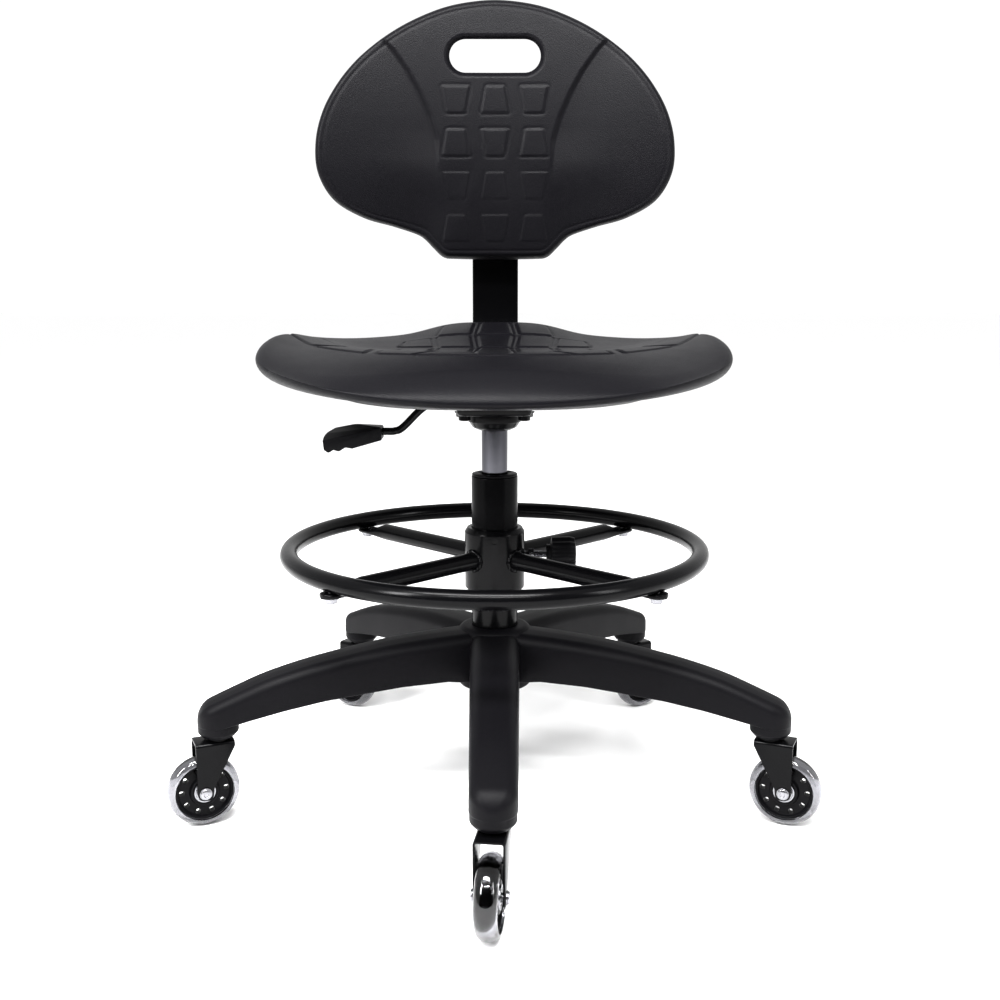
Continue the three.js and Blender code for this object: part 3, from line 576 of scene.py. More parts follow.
def star_base():
    hub = turned(rounded([
        (0, HUB_BOTTOM, 0), (HUB_RADIUS, HUB_BOTTOM, 4), (HUB_RADIUS, HUB_TOP, 8), (0, HUB_TOP, 0),
    ]), 96)
    base = as_object("star_base_shell", hub)
    low = TIP_BOTTOM - 14
    socket = turned(rounded([
        (0, low, 0), (SOCKET_RADIUS, low, 0), (SOCKET_RADIUS, SOCKET_TOP, 1), (0, SOCKET_TOP, 0),
    ]), 24)
    for k in range(LEGS):
        combined(base, "UNION", spun(leg_shape(), "Z", leg_angle(k)))
    for k in range(LEGS):
        combined(base, "DIFFERENCE", spun(leg_shape(3.6, 8), "Z", leg_angle(k)))
        for rib in leg_ribs():
            combined(base, "UNION", spun(rib, "Z", leg_angle(k)))
        combined(base, "DIFFERENCE", spun(moved(socket, STEM_CIRCLE), "Z", leg_angle(k)))
    combined(base, "DIFFERENCE", rod(BORE_RADIUS, HUB_BOTTOM - 30, HUB_TOP + 23, 96))
    finished(base, "nylon", "base", ["star_base"], crease=32)


star_base()

# -------- casters, modelled with the swivel on Z

def caster_fork():
    """A strip of sheet bent into an upside-down U: its side plates narrow towards the axle."""
    side = rounded([
        (-14, FORK_TOP, 0), (-14, FORK_TOP - 6, 3), (TRAIL - 8.4, WHEEL_RADIUS + 3, 10),
        (TRAIL - 8, WHEEL_RADIUS - 8, 7.9), (TRAIL + 8, WHEEL_RADIUS - 8, 7.9), (TRAIL + 8, FORK_TOP, 0),
    ], True, 8)
    fork = as_object("fork", spun(prism(side, -FORK_HALF, FORK_HALF), "X", 90))
    half, top = FORK_HALF - FORK_SHEET, FORK_TOP - FORK_SHEET
    outer = rounded([
        (-FORK_HALF, 0, 0), (FORK_HALF, 0, 0), (FORK_HALF, FORK_TOP, 3.4), (-FORK_HALF, FORK_TOP, 3.4),
    ], True)
    inner = rounded([(-half, -9, 0), (half, -9, 0), (half, top, 1.4), (-half, top, 1.4)], True)
    combined(fork, "INTERSECT", spun(spun(prism(outer, -40, 40), "X", 90), "Z", 90))
    combined(fork, "DIFFERENCE", spun(spun(prism(inner, -60, 60), "X", 90), "Z", 90))
    hole = spun(rod(AXLE_RADIUS + 0.3, -40, 40), "X", 90)
    combined(fork, "DIFFERENCE", moved(hole, TRAIL, 0, WHEEL_RADIUS))
    return bevelled(fork, 0.5, 2, 40)


def caster_core():
    """A moulded wheel centre: a thin web with openings, a rim and a seat for the bearings."""
    half, web = 9.2, 4.2
    core = as_object("core", turned_ring([
        (11.2, -half + 0.6, 0.6), (14.2, -half + 0.4, 0.8), (15, -web, 1.5), (26.4, -web, 1.5),
        (27.2, -half + 0.8, 0.8), (CORE_RADIUS, -half + 1.2, 0.8), (CORE_RADIUS, half - 1.2, 0.8),
        (27.2, half - 0.8, 0.8), (26.4, web, 1.5), (15, web, 1.5), (14.2, half - 0.4, 0.8),
        (11.2, half - 0.6, 0.6),
    ], 3, 72))
    opening = rounded([(-2.2, -2.8, 1.6), (2.2, -2.8, 1.6), (2.7, 2.8, 1.8), (-2.7, 2.8, 1.8)], True, 4)
    cutter = moved(spun(prism(opening, -20, 20), "Z", -90), 22.8)
    for k in range(CORE_OPENINGS):
        combined(core, "DIFFERENCE", spun(cutter, "Z", 360 / CORE_OPENINGS * k))
    return core


def caster_tyre():
    """A ring whose tread is half an ellipse across."""
    inner = CORE_RADIUS + 0.1
    tread = [(28.5 + 9 * math.cos(a), 10.7 * math.sin(a)) for a in np.radians(np.linspace(-80, 80, 25))]
    profile = np.array([(inner, -9.2), *tread, (inner, 9.2), (inner, -9.2)])
    return as_object("tyre", turned(profile, 96))


def ball_bearing():
    """Both bearings of a wheel: outer ring, shield and inner ring, stepped back from one another."""
    face = 9.6
    one = turned_ring([
        (4.5, 3, 0), (4.5, face, 0.3), (6.4, face, 0.3), (6.6, face - 0.6, 0), (9.2, face - 0.6, 0),
        (9.4, face, 0.3), (11, face, 0.4), (11, 3, 0),
    ], 2, 48)
    return as_object("bearing", together(one, spun(one, "X", 180)))


def caster_axle():
    """A pin with a washer and a domed head at each end."""
    head = FORK_HALF + 0.4
    washer = turned(rounded([
        (4, head - 0.3, 0), (6.3, head - 0.3, 0.2), (6.3, head + 0.7, 0.3), (4, head + 0.7, 0),
    ]))
    dome = turned(rounded([
        (0, head + 0.7, 0), (5.6, head + 0.7, 0.2), (5.6, head + 2.1, 0.9), (2.6, head + 3, 0.6),
        (2.2, head + 2.2, 0.2), (0, head + 2.2, 0),
    ], steps=3), 36)
    end = together(washer, dome)
    return as_object("axle", together(rod(AXLE_RADIUS, -head, head), end, spun(end, "X", 180)))


def caster_stem():
    """Stem with the swivel bearing's cup between fork and boss."""
    low = FORK_TOP + 0.1
    stem = turned(rounded([
        (0, low, 0), (12.5, low, 0.6), (12.5, FORK_TOP + 1.6, 0.6), (9, FORK_TOP + 2.8, 0.6),
        (STEM_RADIUS, FORK_TOP + 2.9, 0.3), (STEM_RADIUS, STEM_TOP - 2, 0.5), (3.5, STEM_TOP, 0.3),
        (0, STEM_TOP, 0),
    ]), 48)
    return as_object("stem", stem)


def casters():
    """One pattern of each part is made, and its mesh is used for all the casters."""
    axle_place = Matrix.Translation(Vector((TRAIL, 0, WHEEL_RADIUS)) / 1000)
    level = axle_place @ Matrix.Rotation(math.radians(90), 4, "X")
    upright = Matrix.Identity(4)
    kinds = [
        ("stem", caster_stem(), "powder_coat", "base", upright),
        ("fork", caster_fork(), "powder_coat", "caster_{}", upright),
        ("axle", caster_axle(), "bright_steel", "caster_{}", level),
        ("core", caster_core(), "black_plastic", "wheel_{}", level),
        ("tyre", caster_tyre(), "clear_tyre", "wheel_{}", level),
        ("bearing", ball_bearing(), "bright_steel", "wheel_{}", level),
    ]
    for k in range(LEGS):
        leg = Matrix.Rotation(math.radians(leg_angle(k)), 4, "Z")
        swivel = Matrix.Rotation(math.radians(CASTER_TURNS[k]), 4, "Z")
        at = leg @ Matrix.Translation((STEM_CIRCLE / 1000, 0, 0)) @ swivel
        for kind, pattern, material, body, tilt in kinds:
            name = f"caster_{k + 1}_{kind}"
            obj = bpy.data.objects.new(name + "_look", pattern.data)
            bpy.context.scene.collection.objects.link(obj)
            stands_for = [] if kind == "bearing" else [name]
            finished(obj, material, body.format(k + 1), stands_for, at @ tilt)
    for kind in kinds:
        bpy.data.objects.remove(kind[1])


# -------- column, gas lift and foot ring

def column():
    tube = turned_ring([
        (23.2, 96, 0.4), (COLUMN_RADIUS, 96, 0.6), (COLUMN_RADIUS, COLUMN_TOP, 1.4), (23.2, COLUMN_TOP, 0.4),
    ])
    piece("column_tube_look", tube, "powder_coat", "base", ["column_tube"])
    sleeve = turned_ring([
        (14.4, 292, 0), (22.9, 292, 0.5), (22.9, COLUMN_TOP + 0.2, 0), (24.4, COLUMN_TOP + 0.2, 0.6),
        (24.4, COLUMN_TOP + 2.4, 1), (19.5, COLUMN_TOP + 3.2, 1.2), (16.5, COLUMN_TOP + 2.2, 0.5),
        (14.4, COLUMN_TOP + 1, 0.3),
    ])
    piece("column_bushing_look", sleeve, "black_plastic", "base", ["column_bushing"])
    cylinder = turned_ring([
        (5.4, 172, 0.3), (CYLINDER_RADIUS, 172, 1.5), (CYLINDER_RADIUS, 399, 0), (13.8, 419.5, 0.8),
        (3.9, 419.8, 0.3), (3.9, 406, 0), (5.4, 404, 0),
    ])
    piece("gas_cylinder_look", cylinder, "chrome", "gas_lift", ["gas_cylinder"])


def foot_ring():
    section = circle(RING_TUBE, 28)
    rings = []
    for a in np.linspace(0, TAU, 144, endpoint=False):
        r = RING_RADIUS + section[:, 0]
        rings.append(np.column_stack([r * math.cos(a), r * math.sin(a), RING_Z + section[:, 1]]))
    piece("foot_ring_look", loft(rings, looped=True), "powder_coat", "foot_rest", ["foot_ring"])
    ring_collar()
    for k in range(SPOKES):
        turn = 360 / SPOKES * (k + 0.5)
        spoke, bolt = f"ring_spoke_{k + 1}", f"ring_bolt_{k + 1}"
        piece(spoke + "_look", spun(ring_spoke(), "Z", turn), "powder_coat", "foot_rest", [spoke])
        piece(f"ring_weld_{k + 1}", spun(weld_bead(k), "Z", turn), "powder_coat", "foot_rest")
        piece(bolt + "_look", spun(ring_bolt(), "Z", turn), "bright_steel", "foot_rest", [bolt])


def ring_collar():
    """The collar on the column, with a short slot in front and a hole for the knob's stud."""
    tube = turned_ring([
        (BORE_RADIUS, 226, 0.4), (29, 226, 1.2), (COLLAR_RADIUS, 230, 1.5), (COLLAR_RADIUS, 291, 1.8),
        (29.5, 296, 1.2), (BORE_RADIUS, 296, 0.4),
    ])
    collar = as_object("ring_collar_look", tube)
    slot = rectangle(4.4, 3.2, 1.2)
    combined(collar, "DIFFERENCE", moved(spun(prism(slot, 31.2, 40), "X", 90), z=284))
    combined(collar, "DIFFERENCE", moved(spun(rod(4.4, 20, 60, 32), "Y", 90), z=KNOB_Z))
    finished(collar, "powder_coat", "foot_rest", ["ring_collar"])


def ring_bolt():
    """A hexagon bolt with its washer, put up through a spoke's flat end from below."""
    head = moved(hexagon_head(HEAD_RADIUS, 4.2), z=252.3)
    bolt = together(disc(7.6, 256.4, 257.6), head, rod(BOLT_RADIUS, 257, 268, 20))
    return moved(bolt, RING_RADIUS)


def ring_spoke():
    """A round tube that is pressed flat where it bolts under the ring."""
    rings = []
    end = RING_RADIUS + 11
    for x in np.concatenate([[31.5, 90, 150], np.linspace(180, 214, 14), np.linspace(218, end, 6)]):
        flat = smoothstep(x, 182, 210)
        tip = math.sqrt(max(0.02, 1 - max(0, (x - RING_RADIUS + 1) / 12.2) ** 2))
        half_width = mix(RING_TUBE, 12, flat) * tip
        top = mix(SPOKE_Z + RING_TUBE, RING_Z - RING_TUBE - 0.2, flat)
        bottom = mix(SPOKE_Z - RING_TUBE, RING_Z - RING_TUBE - 5, flat)
        power = mix(1.0, 0.45, flat)
        section = circle(1, 36)
        across = half_width * np.sign(section[:, 0]) * np.abs(section[:, 0]) ** power
        up = (top + bottom) / 2 + (top - bottom) / 2 * np.sign(section[:, 1]) * np.abs(section[:, 1]) ** power
        rings.append(np.column_stack([np.full(36, x), across, up]))
    return loft(rings)


def weld_bead(seed):
    """The uneven bead where a spoke is welded to the collar."""
    rings = []
    for a in np.linspace(0, TAU, 60, endpoint=False):
        ripple = 1 + 0.14 * math.sin(13 * a + seed) + 0.08 * math.sin(29 * a + 2 * seed)
        across, up = (RING_TUBE + 0.6) * math.cos(a), (RING_TUBE + 0.6) * math.sin(a)
        start = math.sqrt(COLLAR_RADIUS ** 2 - across ** 2)
        section = circle(2.3 * ripple, 12)
        out = np.array([math.cos(a), math.sin(a)])
        rings.append(np.array([
            [start + 0.6 + s, across + out[0] * t, SPOKE_Z + up + out[1] * t] for s, t in section
        ]))
    return loft(rings, looped=True)


def hexagon_head(radius, height):
    """A hexagon head with its corners rounded off on top and below."""
    hexagon = rounded([(x, y, 0.6) for x, y in circle(radius * 1.12, 6)], True, 3)
    rings = []
    for scale, z in ((0.86, 0), (1, 0.7), (1, height - 0.2), (0.97, height)):
        rings.append(np.column_stack([hexagon * scale, np.full(len(hexagon), z)]))
    return loft(rings)


def hand_knob(radius, length, lobes=8):
    """A lobed hand knob about Z with a plain neck and a domed cap."""
    rings = []
    steps = lobes * 12
    angles = np.linspace(0, TAU, steps, endpoint=False)
    rows = rounded([
        (0.3, 0, 0), (0.56, 0, 0.03), (0.56, 4.0, 0.1), (0.96, 5.6, 0.3), (1.0, length - 7, 1.2),
        (0.93, length - 1.6, 1.6), (0.6, length, 1), (0.02, length + 0.5, 0),
    ], steps=4)
    for scale, z in rows:
        grip = smoothstep(scale, 0.66, 0.95)
        lobe = 1 - 0.1 * grip * (0.5 - 0.5 * np.cos(lobes * angles)) ** 1.6
        r = radius * scale * lobe
        rings.append(np.column_stack([r * np.cos(angles), r * np.sin(angles), np.full(steps, z)]))
    return loft(rings)


def ring_knob():
    knob = moved(spun(hand_knob(KNOB_RADIUS, 32), "Y", 90), KNOB_START, 0, KNOB_Z)
    piece("ring_knob_look", knob, "black_plastic", "ring_knob", ["ring_knob"], crease=50)
    thread = [(0, 25.5)]
    for k in range(40):
        start = 26 + k * THREAD_PITCH
        thread += [(3.9, start), (3.35, start + THREAD_PITCH / 2)]
    thread.append((0, 72))
    stud = moved(spun(turned(thread, 32), "Y", 90), z=KNOB_Z)
    nut = moved(spun(moved(hexagon_head(5.4, 6.5), z=36.5), "Y", 90), z=KNOB_Z)
    piece("ring_knob_stud_look", stud, "bright_steel", "ring_knob", ["ring_knob_stud"])
    piece("ring_nut", nut, "bright_steel", "foot_rest")


casters()
column()
foot_ring()
ring_knob()

# -------- under the seat

def seat_mechanism():
    plate = prism(rectangle(170, 190, 14, 8), 436, 438.9)
    pan = as_object("seat_plate_look", prism(rectangle(78, 110, 11, 8), PAN_BOTTOM, 437))
    bevelled(pan, 3.5, 4, 60)
    flange = as_object("flange", plate)
    bevelled(flange, 0.7, 2, 60)
    points = np.array([v.co for v in flange.data.vertices]) * 1000
    faces = [tuple(p.vertices) for p in flange.data.polygons]
    bpy.data.objects.remove(flange)
    combined(pan, "UNION", (points, faces))
    combined(
        pan, "DIFFERENCE",
        prism(rectangle(72, 104, 8, 8), PAN_BOTTOM + 3, 434.5),
        rod(28.4, PAN_BOTTOM - 5, PAN_BOTTOM + 5, 96),
        moved(prism(rectangle(20, 11, 1, 2), LEVER_Z - 5.5, LEVER_Z + 5.5), -39, 0),
    )
    finished(pan, "powder_coat", "seat", ["seat_plate"])
    cup = turned_ring([
        (14.4, CUP_BOTTOM, 0.6), (17, CUP_BOTTOM, 1), (23.5, CUP_BOTTOM + 3, 5), (27.2, CUP_BOTTOM + 8.6, 2),
        (28, CUP_BOTTOM + 9, 0.6), (28, PAN_BOTTOM + 2.6, 0.8), (14.4, PAN_BOTTOM + 2.6, 0),
    ])
    piece("taper_cup_look", cup, "powder_coat", "seat", ["taper_cup"])
    for k, side in enumerate((-1, 1)):
        bolt = pan_bolt(side * 31, -32)
        piece(f"plate_bolt_{k + 1}_look", bolt, "powder_coat", "seat", [f"plate_bolt_{k + 1}"])
        piece(f"pan_bolt_{k + 1}", pan_bolt(side * 35, 4), "powder_coat", "seat")
    for k, (x, y) in enumerate(((-70, -80), (70, -80), (-70, 80), (70, 80))):
        screw = together(moved(hexagon_head(HEAD_RADIUS, 3.6), z=431.4), disc(8.5, 434.9, 435.9))
        piece(f"seat_screw_{k + 1}", moved(screw, x, y), "bright_steel", "seat")


def pan_bolt(x, y):
    """A flange bolt that is screwed up into the pan."""
    flange = turned(rounded([
        (0, PAN_BOTTOM - 0.3, 0), (8, PAN_BOTTOM - 0.3, 0.3), (7.6, PAN_BOTTOM - 1.8, 0.6),
        (0, PAN_BOTTOM - 2, 0),
    ]), 40)
    shank = rod(BOLT_RADIUS, PAN_BOTTOM - 1, 430)
    head = moved(hexagon_head(HEAD_RADIUS, 4.8), z=PAN_BOTTOM - 6.4)
    return moved(together(flange, shank, head), x, y)


def lever():
    route = smooth_line([
        (9, LEVER_Z), (-30, LEVER_Z), (-60, LEVER_Z - 0.5), (-76, 425), (-98, 404), (-107, 400),
        (-116, PADDLE_Z), (-128, PADDLE_Z),
    ], 6)
    path = np.column_stack([route[:, 0], np.zeros(len(route)), route[:, 1]])
    piece("lever_rod_look", swept(path, circle(4, 24)), "powder_coat", "lever", ["lever_rod"])
    lever_paddle()


def lever_paddle():
    """A flat-sided paddle: finger hollows under its free end, and a face that slopes to the front."""
    half = 13
    side = rounded([
        (-120, 391.5, 1.5), (-120, 405, 2), (-150, 406.4, 40), (-172, 402.2, 10), (-183, 396, 7),
        (-181.5, 381, 3), (-176.5, 377.8, 2.5), (-171.5, 381.2, 2), (-165.5, 379.4, 3), (-158.5, 383.8, 2),
        (-151.5, 382.5, 3),
    ], True, 6)
    paddle = as_object("lever_paddle_look", spun(prism(side, -half, half), "X", 90))
    wedge = []
    for x in (-110, -200):
        front = 404.5 + 0.22 * (x + 120)
        rear = front + 0.4 * 2 * half
        wedge.append(np.array([
            (x, -half - 1, front - 0.4), (x, half, rear), (x, half, 450), (x, -half - 1, 450),
        ]))
    combined(paddle, "DIFFERENCE", loft(wedge))
    bevelled(paddle, 1.3, 3, 32)
    finished(paddle, "black_plastic", "lever", ["lever_paddle"])


def back_bar():
    """Flat bar with rounded edges, bent up behind the seat."""
    under, bend = 432.2, 40
    path = [(y, under) for y in np.linspace(60, BAR_Y - bend, 6)[:-1]]
    for a in np.linspace(0, math.pi / 2, 18):
        path.append((BAR_Y - bend + bend * math.sin(a), under + bend * (1 - math.cos(a))))
    path += [(BAR_Y, z) for z in np.linspace(under + bend, 700, 8)[1:]]
    path = np.array(path)
    tangents = np.gradient(path, axis=0)
    tangents /= np.linalg.norm(tangents, axis=1)[:, None]
    section = rectangle(BAR_WIDTH, BAR_THICKNESS, 2.2, 4)
    rings = []
    for (y, z), (ty, tz) in zip(path, tangents):
        rings.append(np.column_stack([section[:, 0], y - tz * section[:, 1], z + ty * section[:, 1]]))
    piece("back_bar_look", loft(rings), "powder_coat", "seat", ["back_bar"])
    for k, x in enumerate((-14, 14)):
        screw = moved(hexagon_head(HEAD_RADIUS, 4), x, 76, 424.6)
        piece(f"bar_screw_{k + 1}", screw, "bright_steel", "seat")


def to_rear(shape, x, y):
    """Turns a piece made about Z so that it points to the rear, at the height of the bracket."""
    return moved(spun(shape, "X", -90), x, y, BRACKET_Z)


def back_bracket():
    block = spun(prism(rectangle(78, 76, 12, 8), -26, 0), "X", 90)
    body = as_object("back_bracket_look", moved(block, 0, 213.8, BRACKET_Z))
    bevelled(body, 3, 4, 60)
    boss = turned(rounded([(0, 0, 0), (16, 0, 0), (15, 4.4, 1.2), (0, 4.4, 0)]))
    combined(body, "UNION", to_rear(boss, 0, 238.5))
    channel = rectangle(BAR_WIDTH + 1.6, BAR_THICKNESS + 1.6, 1.6, 3)
    combined(body, "DIFFERENCE", moved(prism(channel, 590, 700), 0, BAR_Y))
    for x, radius, start in ((-BACK_BOLT_X, 3.4, 205), (0, 4.4, 224), (BACK_BOLT_X, 3.4, 205)):
        combined(body, "DIFFERENCE", to_rear(rod(radius, 0, 60, 32), x, start))
    finished(body, "black_plastic", "backrest", ["back_bracket"])
    bolt = turned(rounded([
        (0, -46, 0), (3, -46, 0.3), (3, 0.2, 0), (6.5, 0.2, 0.3), (6.5, 1.6, 0.6), (4.6, 3.8, 1.6),
        (2.4, 4.2, 0.3), (2.2, 2.2, 0), (0, 2.2, 0),
    ], steps=3), 40)
    for k, side in enumerate((-1, 1)):
        name = f"back_bolt_{k + 1}"
        piece(name + "_look", to_rear(bolt, side * BACK_BOLT_X, 240), "bright_steel", "backrest", [name])
    knob = to_rear(hand_knob(20, 30), 0, BAR_Y + 18.5)
    piece("back_knob_look", knob, "black_plastic", "back_knob", ["back_knob"], crease=50)
    stud = to_rear(rod(3.9, 0, 26, 32), 0, 231)
    piece("back_knob_stud_look", stud, "bright_steel", "back_knob", ["back_knob_stud"])


# -------- moulded foam

def round_grid(count):
    """A square grid laid over a disc: each node's angle and level (0 middle, 1 rim), the faces, the rim."""
    line = np.linspace(-1, 1, count + 1)
    u, v = (a.ravel() for a in np.meshgrid(line, line, indexing="ij"))
    level = np.maximum(np.abs(u), np.abs(v))
    wide = np.abs(u) >= np.abs(v)
    safe_u, safe_v = np.where(u == 0, 1, u), np.where(v == 0, 1, v)
    angle = np.where(wide, math.pi / 4 * v / safe_u + np.where(u < 0, math.pi, 0),
                     math.pi / 2 - math.pi / 4 * u / safe_v + np.where(v < 0, math.pi, 0))
    n = count + 1
    faces = []
    for i in range(count):
        for a in range(i * n, i * n + count):
            faces.append((a, a + n, a + n + 1, a + 1))
    rim = [i * n for i in range(count)] + [count * n + j for j in range(count)]
    rim += [i * n + count for i in range(count, 0, -1)] + list(range(count, 0, -1))
    return angle, level, faces, np.array(rim)


def closed_below(points, faces, rim, rings):
    """Adds rings of points under the rim of a grid and closes the last one."""
    start = len(points)
    faces = list(faces)
    count = len(rim)
    previous = rim
    for number in range(len(rings)):
        current = start + number * count + np.arange(count)
        for i in range(count):
            j = (i + 1) % count
            faces.append((previous[i], previous[j], current[j], current[i]))
        previous = current
    faces.append(tuple(previous))
    return np.vstack([points, *rings]), faces


def rolled_edge(level, count, roll, radius, reach):
    """The front of a pad: the angle of its rolled edge at each node, its inner level and its scale."""
    band = roll * (2 / count)
    turn = np.clip((1 - level) / band, 0, 1) * math.pi / 2
    inner = np.clip(level / (1 - band), 0, 1)
    shrink = 1 - radius * (1 - np.cos(turn)) / reach
    return turn, inner, np.where(turn < math.pi / 2, shrink, inner * (1 - radius / reach))


def pad_field(x, y, pads, rounding=2.5):
    """Signed distance to the nearest pad's outline, negative inside a pad. Pads are convex outlines."""
    nearest = np.full(len(x), 1e3)
    for corners in pads:
        corners = np.array(corners, float)
        middle = corners.mean(axis=0)
        sides = []
        for a, b in zip(corners, np.roll(corners, -1, axis=0)):
            along_side = (b - a) / np.linalg.norm(b - a)
            normal = np.array([along_side[1], -along_side[0]])
            if (middle - a) @ normal > 0:
                normal = -normal
            sides.append((x - a[0]) * normal[0] + (y - a[1]) * normal[1] + rounding)
        sides = np.maximum(np.array(sides), 0)
        outside = np.sqrt((sides ** 2).sum(axis=0)) - rounding
        nearest = np.minimum(nearest, outside)
    return nearest


def pad_relief(distance, groove, raised):
    """A thin groove round each pad and the pad itself standing a little proud."""
    return raised * smoothstep(-distance, -0.6, 1.8) - groove * np.exp(-((distance - 1.2) / 1.5) ** 2)


# ---- seat

def seat_reach(angle):
    c, s = np.cos(angle), np.sin(angle)
    x = SEAT_HALF_WIDTH * np.sign(c) * np.abs(c) ** 0.8
    y = np.where(s < 0, SEAT_FRONT, SEAT_REAR) * np.sign(s) * np.abs(s) ** 0.8
    return x, y


def seat_top(x, y):
    side = np.abs(x) / SEAT_HALF_WIDTH
    from_dish = np.hypot(x, np.minimum(y, DISH_Y) - DISH_Y)
    rear = smoothstep(y, 20, 195)
    ridge = 4.5 * np.exp(-(((from_dish - 205) / 45) ** 2))
    fall = 20 * (np.maximum(from_dish - 225, 0) / 100) ** 2
    wing = 23 * side ** 6 * (1 - 0.8 * rear)
    hump = rear * (14 * np.exp(-((x / 85) ** 4)) + 11 * np.exp(-((x / 180) ** 4)))
    return 484 + ridge - fall + wing + hump + 3 * rear


def seat_edge(x, y):
    side = np.abs(x) / SEAT_HALF_WIDTH
    return 448 + 34 * side ** 2.2 + 26 * smoothstep(y, -60, 190) * np.maximum(1 - side, 0)


def seat_lip(x, y):
    side = np.abs(x) / SEAT_HALF_WIDTH
    return 443 + 16 * side ** 2 + 6 * smoothstep(y, -60, 190)


def seat_pads():
    """Pads of the front arc, and straight rows behind it."""
    pads = []
    arc = [(-4, 4), (5.3, 16.8), (18, 31.5), (35.5, 50), (52, 78)]
    for side in (-1, 1):
        for number, (start, end) in enumerate(arc):
            if number == 0 and side > 0:
                continue
            slant = 2.2 if number % 2 else -2.2
            corners = []
            for degrees, radius in (
                (start + slant, 199), (start - slant, 234), (end + slant, 234), (end - slant, 199),
            ):
                if number == 0:
                    degrees = math.copysign(4 if radius > 210 else 5.5, degrees)
                a = math.radians(-90 + side * degrees)
                corners.append((radius * math.cos(a), DISH_Y + radius * math.sin(a)))
            pads.append(corners)
    rows = [(-62, -12, True), (-4, 46, False), (54, 104, True), (112, 166, False)]
    for low, high, inverted in rows:
        wide, narrow = (16, 20) if inverted else (20, 16)
        pads.append([(-wide, low), (wide, low), (narrow, high), (-narrow, high)])
        outer, inner = (60, 66) if inverted else (66, 60)
        for side in (-1, 1):
            pads.append([
                (side * (wide + 8), low), (side * outer, low), (side * inner, high),
                (side * (narrow + 8), high),
            ])
            if high < 110:
                pads.append([
                    (side * (outer + 8), low + 3), (side * 106, low + 6), (side * 102, high - 5),
                    (side * (inner + 8), high - 2),
                ])
    return pads


def seat_foam():
    angle, level, faces, rim = round_grid(SEAT_GRID)
    ox, oy = seat_reach(angle)
    reach = np.hypot(ox, oy)
    side = (np.abs(ox) / SEAT_HALF_WIDTH) ** 2
    turn, _, scale = rolled_edge(level, SEAT_GRID, SEAT_ROLL, mix(40, 12, side), reach)
    x, y = ox * scale, SEAT_WIDEST_Y + oy * scale
    edge, top = seat_edge(ox, oy + SEAT_WIDEST_Y), seat_top(x, y)
    relief = pad_relief(pad_field(x, y, seat_pads()), 1.1, 0.8)
    z = mix(edge, top, np.sin(turn)) + relief * np.sin(turn) ** 4
    points = np.column_stack([x, y, z])

    rings = []
    ox, oy, reach, side = ox[rim], oy[rim], reach[rim], side[rim]
    edge, lip = seat_edge(ox, oy + SEAT_WIDEST_Y), seat_lip(ox, oy + SEAT_WIDEST_Y)
    for b in np.linspace(0, math.pi / 2, 13)[1:]:
        inset = mix(12, 36, side) * (1 - math.cos(b))
        height = mix(edge, lip, math.sin(b))
        scale = 1 - inset / reach
        rings.append(np.column_stack([ox * scale, SEAT_WIDEST_Y + oy * scale, height]))
    for front, end, drop in ((0.88, 0.76, 0.3), (0.83, 0.64, 0.75), (0.78, 0.54, 1.0), (0.3, 0.2, 1.0)):
        share = mix(front, end, side)
        height = mix(lip, SEAT_UNDERSIDE, drop)
        rings.append(np.column_stack([ox * share, SEAT_WIDEST_Y + oy * share, height]))
    points, faces = closed_below(points, faces, rim, rings)
    obj = piece("seat_foam_look", (points, faces), "polyurethane", "seat", ["seat_foam"], crease=80)


# ---- backrest

def back_outline():
    right = BACK_HALF_OUTLINE[:-1]
    left = [(-x, z) for x, z in reversed(BACK_HALF_OUTLINE[1:])]
    loop = right + left
    line = smooth_line(loop[-3:] + loop + loop[:4], 12)
    first, last = 3 * 12, (3 + len(loop)) * 12
    return line[first:last]


def back_reach(angle):
    """The outline about the backrest's centre, looked up by direction."""
    line = back_outline() - [0, BACK_CENTRE_Z]
    directions = np.unwrap(np.arctan2(line[:, 1], line[:, 0]))
    order = np.argsort(directions % TAU)
    reach = np.hypot(line[:, 0], line[:, 1])
    reach = np.interp(angle % TAU, (directions % TAU)[order], reach[order], period=TAU)
    return reach * np.cos(angle), reach * np.sin(angle)


def back_face(x, z):
    return BACK_Y - 34 * (np.abs(x) / BACK_HALF_WIDTH) ** 2 + 0.05 * (z - BACK_CENTRE_Z)


def handle_distance(x, z):
    """Distance outside the edge of the handle slot."""
    straight = HANDLE_HALF_LENGTH - HANDLE_RADIUS
    return np.hypot(np.maximum(np.abs(x) - straight, 0), z - HANDLE_Z) - HANDLE_RADIUS


def handle_ring(y):
    """The handle slot's outline at a depth: the slot widens upwards towards the rear."""
    wider = 0.1 * (y - HANDLE_FRONT_Y)
    straight, radius = HANDLE_HALF_LENGTH - HANDLE_RADIUS, HANDLE_RADIUS + wider
    middle = HANDLE_Z + wider
    ring = []
    for side in (1, -1):
        for a in np.linspace(-math.pi / 2, math.pi / 2, 33):
            ring.append((side * (straight + radius * math.cos(a)), y, middle + side * radius * math.sin(a)))
    return np.array(ring)


def back_pads(rows):
    """Outlines of the pads in these rows, counted from the top."""
    pads = []
    for row in rows:
        top = 782.4 - 48.7 * row
        low = top - 31
        for column in (-1, 0, 1):
            wide_top = (row % 2 == 0) != (column == 0)
            wide, narrow = 16.5, 10.8
            upper, lower = (wide, narrow) if wide_top else (narrow, wide)
            x = column * 45.7
            pads.append([(x - upper, top), (x + upper, top), (x + lower, low), (x - lower, low)])
    return pads


